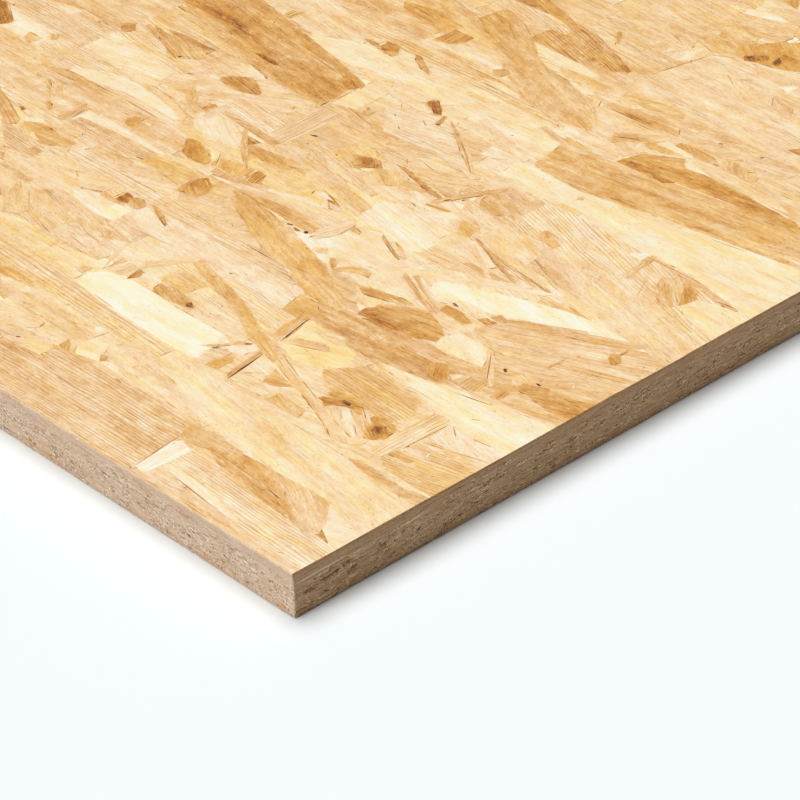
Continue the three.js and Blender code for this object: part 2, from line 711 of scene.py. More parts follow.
def strewn(rng, box, per_metre):
    """Strands strewn over a box, mostly along the sheet, `per_metre` of them in a square metre."""
    area = (box[2] - box[0]) * (box[3] - box[1]) * MM * MM
    count = round(area * per_metre)
    strands = []
    for k in range(count):
        layer = k / count
        share = rng.random()
        for portion, lengths, widths, ragged in STRAND_KINDS:
            share -= portion
            if share < 0:
                break
        run = rng.uniform(*lengths)
        wide = rng.uniform(*widths)
        angle = rng.gauss(0, SPREAD) if rng.random() > ASTRAY else rng.uniform(-1.6, 1.6)
        if rng.random() < 0.5:
            angle += math.pi
        c, s = math.cos(angle), math.sin(angle)
        x, y = rng.uniform(box[0] - 30, box[2] + 30), rng.uniform(box[1] - 15, box[3] + 15)
        start = (x - 0.5 * run * c, y - 0.5 * run * s)
        end = (x + 0.5 * run * c, y + 0.5 * run * s)
        ends = (wide, wide * rng.uniform(0.55, 1.1))
        slants = (rng.gauss(0, 0.4 * wide), rng.gauss(0, 0.4 * wide))
        outline = split_outline(rng, start, end, ends, slants, ragged, 30, rng.gauss(0, 0.01) * run)
        level = STREWN_FROM + STREWN_RISE * layer + rng.gauss(0, 0.015)
        tilt = (rng.gauss(0, 0.0006), rng.gauss(0, 0.003))
        strands.append(Strand(outline, (x, y), (c, s), level, tilt, wood_look(rng)))
    return strands


# Shades of the resined wood, from white sapwood to dark resin.
RESINED_WOOD = ((0.00, "#fffce8"), (0.08, "#fff2d3"), (0.17, "#ffe7c1"), (0.27, "#fad6a7"),
                (0.37, "#f1c58e"), (0.48, "#e6b26f"), (0.60, "#d79b51"), (0.72, "#c48138"),
                (0.86, "#9e5e24"), (1.00, "#4c2a12"))
# Patterns in the wood: their size in millimetres along the grain and over it, the noise's
# detail and roughness, and a shift that keeps them apart. Two more numbers make spots of one:
# where they start and where they are full. Fibres are really some 0.03 mm thick, and are drawn
# as coarse as they need to be to show.
PINE_WAVE = {"wave": (24, 11, 2, 0.5, 0)}
PINE_PATTERNS = {
    "drift": (45, 7, 2, 0.5, 0), "streak": (22, 1.5, 2, 0.6, 0), "cloud": (7, 4, 2, 0.5, 0),
    "mottle": (1.6, 0.9, 2, 0.6, 27.3), "fibre": (3.2, 0.40, 3, 0.7, 0), "hue": (20, 5, 2, 0.6, 2.7),
    "ring_flare": (50, 20, 1, 0.5, 0), "ring_drift": (300, 6, 1, 0.5, 0),
    "ring_gaps": (12, 2.5, 1, 0.5, 4.4), "pore": (2.6, 0.45, 1, 0.5, 5.1, 0.08, 0.2),
    "fleck": (3.0, 0.6, 1, 0.5, 9.3, 0.19, 0.27), "painted_glint": (5, 0.6, 1, 0.5, 13.1, 0.10, 0.22),
    "hair": (13, 0.6, 2, 0.5, 6.6, 0.09, 0.17), "hair_area": (30, 7, 1, 0.5, 21.5, -0.04, 0.16),
    "speck": (1.5, 0.8, 1, 0.5, 33.1, 0.14, 0.24), "speck_area": (16, 10, 1, 0.5, 37.9, 0.02, 0.14)}
# How far one strand's patterns lie from another's, and how much of that turns into depth.
SEED_SHIFT = 900
SEED_DEPTH = 0.37


def grain_patterns(tree, place, sizes):
    """Each named pattern at a place on the wood: noise about zero, or spots from 0 to 1."""
    part = {}
    for name, (long_mm, cross_mm, detail, roughness, shift, *spots) in sizes.items():
        scaled = add_node(tree, "VectorMath", operation="MULTIPLY_ADD", _0=place,
                          _1=(1 / long_mm, 1 / cross_mm, SEED_DEPTH), _2=(shift, shift, shift))
        noise = add_node(tree, "TexNoise", Vector=scaled, Scale=1.0, Detail=detail, Roughness=roughness)
        part[name] = add_node(tree, "Math", operation="SUBTRACT", _0=noise, _1=0.5)
        if spots:
            part[name] = add_node(tree, "MapRange", Value=part[name], _1=spots[0], _2=spots[1])
    return part


def blended(tree, part, first, weights):
    """What the named parts make of a first value when each is added with its weight."""
    for name, weight in weights.items():
        first = add_node(tree, "Math", operation="MULTIPLY_ADD", _0=part[name], _1=weight, _2=first)
    return first


def surfaced(tree, colours, shade, tints, rough, relief, depth_mm, strength):
    """Colours the wood by its shade, tints it, and gives it its roughness and its fine relief."""
    colour = add_node(tree, "ValToRGB", Fac=shade)
    bands = colour.color_ramp.elements
    bands[0].color = linear(colours[0][1])
    bands[1].color = linear(colours[-1][1])
    for darkness, sample in colours[1:-1]:
        bands.new(darkness).color = linear(sample)
    colour = colour.outputs[0]
    for amount, tint in tints:
        colour = add_node(tree, "Mix", data_type="RGBA", blend_type="MULTIPLY", _0=amount,
                          _6=colour, _7=linear(tint)).outputs[2]
    bump = add_node(tree, "Bump", Strength=strength, Distance=depth_mm * MM, Height=relief)
    wood = tree.nodes["Principled BSDF"]
    tree.links.new(colour, wood.inputs["Base Color"])
    tree.links.new(rough.outputs[0], wood.inputs["Roughness"])
    tree.links.new(bump.outputs[0], wood.inputs["Normal"])


# Pine strands under pressed clear resin: satin, warm and straight-grained, with growth rings.
pressed_strands = bpy.data.materials.new("pressed_pine_strands")
pressed_strands.use_nodes = True
tree = pressed_strands.node_tree
told = {}
for name in ("tone_and_gold", "figure", "seed_and_shaded_step"):
    given = add_node(tree, "Attribute", attribute_name=name).outputs["Vector"]
    told[name] = add_node(tree, "SeparateXYZ", Vector=given).outputs
tone, gold = told["tone_and_gold"]["X"], told["tone_and_gold"]["Y"]
contrast, spacing, wander = told["figure"]

# Each strand has its own stretch of the patterns, a little wavy along the grain.
own = add_node(tree, "Math", operation="MULTIPLY", _0=told["seed_and_shaded_step"]["X"], _1=SEED_SHIFT)
own = add_node(tree, "CombineXYZ", X=own, Y=own, Z=own)
place = add_node(tree, "UVMap", uv_map="grain_mm")
place = add_node(tree, "VectorMath", operation="ADD", _0=place, _1=own)
wave = grain_patterns(tree, place, PINE_WAVE)["wave"]
wave = add_node(tree, "Math", operation="MULTIPLY", _0=wave, _1=2.6)
wave = add_node(tree, "CombineXYZ", Y=wave)
place = add_node(tree, "VectorMath", operation="ADD", _0=place, _1=wave)
part = grain_patterns(tree, place, PINE_PATTERNS)
part["side"] = told["seed_and_shaded_step"]["Y"]

# Growth rings: they wander over the strand, and the latewood darkens slowly, then stops short.
across = add_node(tree, "SeparateXYZ", Vector=place).outputs["Y"]
ring = blended(tree, part, across, {"ring_flare": wander})
ring = add_node(tree, "Math", operation="DIVIDE", _0=ring, _1=spacing)
ring = blended(tree, part, ring, {"ring_drift": 2.5, "fibre": 0.25})
broken = blended(tree, part, 0.75, {"ring_gaps": 2.4})
for operation, by in (("FRACT", 0), ("POWER", 3.2), ("SUBTRACT", 0.2), ("MULTIPLY", contrast),
                      ("MULTIPLY", broken)):
    ring = add_node(tree, "Math", operation=operation, _0=ring, _1=by)
part["latewood"] = ring

# Hair-thin dark lines keep to some places and to darker wood, and specks keep to some places.
# The greyish darkening of the hair lines is dust and painted shade in fine splits.
darker = add_node(tree, "MapRange", Value=tone, _1=0.03, _2=0.26)
for name, where in (("hair", part["hair_area"]), ("hair", darker), ("speck", part["speck_area"])):
    part[name] = add_node(tree, "Math", operation="MULTIPLY", _0=part[name], _1=where)

# The glints are painted highlights: pale specks along the fibres that lighten the tone.
part["moved"] = blended(tree, part, 0.0, {"drift": 0.44, "streak": 0.22, "cloud": 0.34, "mottle": 0.20,
                                          "fibre": 0.22, "latewood": 0.36, "pore": 0.12, "painted_glint": -0.12})
strength = add_node(tree, "Math", operation="MULTIPLY_ADD", _0=tone, _1=1.6, _2=0.5)
# Flagged steps and gap floors are darker: partly the cut side of the wood, partly painted shade.
shade = blended(tree, part, tone, {"moved": strength, "fleck": 0.18, "speck": 0.26, "side": 0.22})
golden = blended(tree, part, gold, {"hue": 2.2})
# Latewood and hair lines share a greyish tint: the latewood's own colour, and dust and painted shade in the
# hair-thin splits.
grain_lines_and_split_shade = blended(tree, part, 0.0, {"hair": 0.7, "latewood": 0.5})
rough = blended(tree, part, 0.55, {"fibre": 0.25, "latewood": -0.08, "side": 0.2})
relief = blended(tree, part, 0.0, {"fibre": 0.8, "latewood": 0.35, "streak": 0.4,
                                   "pore": -0.3, "hair": -0.8})
tints = ((golden, "#fff5c0"), (grain_lines_and_split_shade, "#bda88a"))
surfaced(tree, RESINED_WOOD, shade, tints, rough, relief, 0.12, 0.6)


# ---- Sawn edges: the layers of strands cut through ------------------------------------------
# A saw has cut all four sides square. Each strand in the thickness shows as a long thin lens,
# with torn fibres and small open pits between the layers.
EDGE_DEPTH = 4
# Shades of the two cuts, from pale wood to dark pits, and the patterns in the sawn wood.
LONG_EDGE_WOOD = ((0.0, "#fcf0e0"), (0.22, "#f0dac3"), (0.42, "#e3c8af"), (0.62, "#c9a482"),
                  (0.80, "#98703f"), (1.0, "#583a1c"))
END_EDGE_WOOD = ((0.0, "#f6dfc0"), (0.22, "#dcbc93"), (0.42, "#c7a27b"), (0.62, "#a97e55"),
                 (0.80, "#7a4e24"), (1.0, "#452810"))
SAWN_PATTERNS = {
    "layers": (5, 0.8, 2, 0.6, 3.1), "fuzz": (0.9, 0.42, 2, 0.7, 7.7), "grit": (0.55, 0.34, 1, 0.5, 53.9),
    "patch": (13, 4, 2, 0.6, 11.3), "face_layer": (20, 8, 2, 0.5, 17.9), "hue": (6, 1.2, 2, 0.6, 41.3),
    "torn": (7, 3, 1, 0.5, 19.1, -0.12, 0.10), "pit": (2.4, 0.6, 1, 0.5, 23.3, 0.08, 0.22),
    "fleck": (2.6, 0.5, 1, 0.5, 31.7, 0.06, 0.22), "foot": (7, 1.0, 1, 0.5, 47.9, 0.02, 0.16)}


def sawn_wood(name, colours, lean, arris_shade, fuzziness):
    """Softwood cut by a saw: dull, fuzzy with torn fibres, pitted where strands leave a gap.

    Its fibres are dragged over by `lean`. Under the top arris the denser face layer is smooth.
    """
    material = bpy.data.materials.new(name)
    material.use_nodes = True
    tree = material.node_tree
    place = add_node(tree, "UVMap", uv_map="grain_mm")
    below = add_node(tree, "SeparateXYZ", Vector=place).outputs["Y"]
    place = add_node(tree, "VectorRotate", rotation_type="Z_AXIS", Vector=place, Angle=lean)
    given = add_node(tree, "Attribute", attribute_name="tone_and_gold").outputs["Vector"]
    tone = add_node(tree, "SeparateXYZ", Vector=given).outputs["X"]
    part = grain_patterns(tree, place, SAWN_PATTERNS)

    # The saw tears the looser wood below the face layer; the foot of the cut is redder.
    depth = blended(tree, part, below, {"face_layer": 12.0})
    looser = add_node(tree, "MapRange", Value=depth, _1=2.5, _2=6.0)
    low = add_node(tree, "MapRange", Value=below, _1=12.0, _2=17.0)
    part["arris"] = add_node(tree, "MapRange", Value=below, _1=1.3, _2=0.2)
    for name, where in (("torn", looser), ("foot", low)):
        part[name] = add_node(tree, "Math", operation="MULTIPLY", _0=part[name], _1=where)
    for name in ("pit", "fleck"):
        part["torn_" + name] = add_node(tree, "Math", operation="MULTIPLY", _0=part[name], _1=part["torn"])

    rough_cut = blended(tree, part, 0.35, {"torn": 0.9})
    part["moved"] = blended(tree, part, 0.0, {"layers": 0.50, "fuzz": 1.15 * fuzziness,
                                              "grit": 0.9 * fuzziness, "patch": 0.10})
    # Pits in the torn wood are painted dark: shade inside small open holes between the layers.
    shade = blended(tree, part, tone, {"moved": rough_cut, "patch": 0.13, "torn_pit": 0.52,
                                       "torn_fleck": -0.42, "arris": arris_shade})
    warm = blended(tree, part, 0.5, {"hue": 3.5})
    rough = blended(tree, part, 0.82, {"fuzz": 0.2})
    relief = blended(tree, part, 0.0, {"fuzz": 0.6, "layers": 0.5, "pit": -0.8, "fleck": 0.4})
    relief = add_node(tree, "Math", operation="MULTIPLY", _0=relief, _1=rough_cut)
    tints = ((warm, "#fff8ec"), (part["foot"], "#ffe8cf"))
    surfaced(tree, colours, shade, tints, rough, relief, 0.15, 0.35)
    return material


# Darker and paler strands in the two cuts that meet at the near corner: tone, one end (from
# the corner and below the top), the other end, and thickness, in millimetres.
LONG_EDGE_MARKS = (
    (0.60, 84, 0.6, 94, 1.6, 2.6), (0.55, 7, 4.2, 9.5, 6.2, 1.4), (0.55, 27.5, 4, 30.5, 5.2, 1.0),
    (0.58, 38, 4.8, 40.5, 5.8, 0.8), (0.60, 43, 6.6, 47, 7.0, 0.7), (0.60, 53, 3, 54.5, 4.2, 0.8),
    (0.55, 62, 3.4, 66, 5.2, 0.7), (0.60, 71.5, 7.2, 73.5, 8.4, 0.9), (0.28, 68, 8.2, 74, 10, 0.8),
    (0.55, 18, 9.4, 22, 10.2, 0.8), (0.56, 41, 14.3, 44, 15, 0.8), (0.60, 55, 13.4, 58, 14.6, 0.9),
    (0.55, 66, 15.6, 70, 16.6, 0.8), (0.54, 58, 9.6, 62, 10.6, 0.8), (0.28, 38, 7.4, 52, 7.6, 0.7),
    (0.30, 22, 7, 34, 8.6, 0.8), (0.55, 14, 7, 17, 8, 0.8), (0.55, 79, 10.6, 82, 12, 1.0),
    (0.30, 84, 12.4, 92, 15, 0.8), (0.54, 108, 5, 112, 6.4, 0.9), (0.55, 124, 13, 129, 15, 0.9),
    (0.30, 96, 3, 101, 5.6, 0.8), (0.50, 135, 3, 144, 4.4, 2.6), (0.55, 149, 9.6, 153, 11.2, 0.9),
)
END_EDGE_MARKS = (
    (0.12, 0, 4.6, 24, 4.2, 0.8), (0.16, 24, 5.3, 31, 5.0, 0.6), (0.16, 45, 5.2, 58, 4.7, 0.8),
    (0.66, 36.5, 9.4, 41, 8.6, 2.4), (0.74, 11, 8.7, 21, 8.2, 1.2), (0.66, 21, 7.8, 25, 7.4, 1.8),
    (0.68, 23, 12.2, 28, 10.4, 2.6), (0.66, 4, 9.6, 10, 10.4, 1.4), (0.60, 0, 15.6, 10, 16.4, 1.4),
    (0.60, 52, 17, 57, 16.2, 0.9), (0.56, 35, 17, 41, 16.6, 1.0), (0.55, 29, 10.5, 35, 9.6, 1.0),
    (0.52, 63, 8.8, 72, 8.2, 1.2), (0.55, 78, 11, 84, 10.4, 0.9), (0.32, 50, 12.2, 58, 11.8, 0.5),
    (0.32, 66, 10.6, 76, 10, 0.5), (0.30, 96, 6.3, 103, 5.4, 0.5), (0.56, 84, 6.6, 92, 6.2, 0.8),
    (0.58, 63, 15.6, 69, 15, 0.9), (0.55, 129, 6.6, 136, 5.8, 0.8), (0.56, 146, 9, 150, 8.4, 1.0),
    (0.33, 112, 12.4, 124, 11.6, 0.5), (0.60, 150, 10.6, 158, 10, 0.8), (0.56, 160, 13.2, 168, 12.8, 0.9),
    (0.60, 180, 9.2, 184, 8.8, 0.8), (0.60, 188, 10.2, 196, 9.6, 1.0), (0.33, 170, 6, 186, 5, 0.5),
    (0.55, 205, 8.4, 212, 8, 1.0), (0.50, 228, 5, 240, 4.4, 1.6),
)


def lens(rng, middle, run, thick, lean, tone, level):
    """One strand cut through: thickest near its middle, drawn out to two thin ends."""
    c, n = math.cos(lean), math.sin(lean)
    shape = [(-0.5, 0), (-0.3, -0.42), (0.05, -0.5), (0.36, -0.38), (0.5, 0.05),
             (0.28, 0.42), (-0.08, 0.5), (-0.37, 0.36)]
    outline = []
    for u, v in shape:
        u = run * (u + rng.gauss(0, 0.02))
        v = thick * (v + rng.gauss(0, 0.05))
        outline.append((middle[0] + c * u - n * v, middle[1] + n * u + c * v))
    return Strand(outline, middle, (c, n), level, (0, 0), (tone, 0, rng.random(), 0, 2, 0))


# The layers of a cut are as far apart as the strands are thick, and open pits go this deep.
LAYER_PITCH = 0.8
FILLING_LEVEL = -0.10
CUT_TONE = 0.42
CUT_SEED = 7


def cut_layers(rng, box, lens_run):
    """Strands cut through: thin lenses in wavy layers, later ones over the ends of earlier ones."""
    low_x, low_y, high_x, high_y = box[0] - 5, box[1] - 5, box[2] + 5, box[3] + 5
    filling = [(low_x, low_y), (high_x, low_y), (high_x, high_y), (low_x, high_y)]
    # Where the lenses leave a pit the filling shows; its tone is a little darker than theirs, painted shade
    # in the pit.
    filling = Strand(filling, (0, 0), (1, 0), FILLING_LEVEL, (0, 0), (0.5, 0, 0.3, 0, 2, 0))
    strands = []
    rows = round((box[3] - box[1]) / LAYER_PITCH)
    for k in range(rows * 2):
        t = box[1] + (box[3] - box[1]) * ((k + rng.uniform(0.2, 0.8)) / (2 * rows))
        s = box[0] - rng.uniform(0, 40)
        while s < box[2]:
            run = rng.uniform(*lens_run)
            tone = min(0.7, max(0.2, rng.gauss(CUT_TONE, 0.03)))
            middle = (s + run / 2, t + rng.gauss(0, 0.25))
            thick = rng.uniform(0.8, 1.5) * LAYER_PITCH
            lean = rng.gauss(0, 0.02)
            level = -0.02 - 0.06 * rng.random() ** 3
            strands.append(lens(rng, middle, run, thick, lean, tone, level))
            s += run * rng.uniform(0.6, 1.5)
    rng.shuffle(strands)
    return [filling] + strands


def marked(rng, marks, corner, towards):
    """The marks as lenses on a plate whose corner end is at `corner` and runs on `towards` it."""
    strands = []
    for tone, s0, t0, s1, t1, thick in marks:
        a = corner + towards * s0, THICKNESS / 2 - t0
        b = corner + towards * s1, THICKNESS / 2 - t1
        middle = (a[0] + b[0]) / 2, (a[1] + b[1]) / 2
        lean = math.atan2(b[1] - a[1], b[0] - a[0])
        strands.append(lens(rng, middle, math.dist(a, b), thick, lean, tone, -0.03))
    return strands


long_edge_wood = sawn_wood("sawn_along_the_strands", LONG_EDGE_WOOD, math.radians(-20), 0.0, 1.45)
end_edge_wood = sawn_wood("sawn_across_the_strands", END_EDGE_WOOD, math.radians(4), 0.22, 1.15)
half_x, half_y = LENGTH / 2, WIDTH / 2
half_z = THICKNESS / 2 - SKIN_DEPTH
rng = random.Random(CUT_SEED)
for k in range(4):
    on_long_side = k % 2 == 0
    reach = half_y if on_long_side else half_x
    seat = (Matrix.Rotation(k * math.pi / 2, 4, "Z")
            @ Matrix.Translation((0, -reach * MM, half_z * MM + SKIN_DEPTH * MM))
            @ Matrix.Rotation(math.pi / 2, 4, "X"))
    if on_long_side:
        for half, ends in enumerate(((-half_x, 0), (0, half_x))):
            box = (ends[0], -half_z, ends[1], half_z)
            cut = (ARRIS, EDGE_DEPTH - ARRIS)
            sides = (cut if half == 0 else (0, 0), (0, 0), cut if half == 1 else (0, 0), (0, 0))
            layers = cut_layers(rng, box, (8, 45))
            if (k, half) == (0, 1):
                layers += marked(rng, LONG_EDGE_MARKS, half_x, -1)
            skin(f"long_edge_{k + half + 1}", layers, box, sides, EDGE_DEPTH, seat,
                 [long_edge_wood], rng)
    else:
        box = (-half_y + ARRIS, -half_z, half_y - ARRIS, half_z)
        sides = ((0, EDGE_DEPTH), (0, 0), (0, EDGE_DEPTH), (0, 0))
        layers = cut_layers(rng, box, (6, 30))
        if k == 1:
            layers += marked(rng, END_EDGE_MARKS, -half_y, 1)
        skin(f"end_edge_{(k + 1) // 2}", layers, box, sides, EDGE_DEPTH, seat,
             [end_edge_wood], rng)


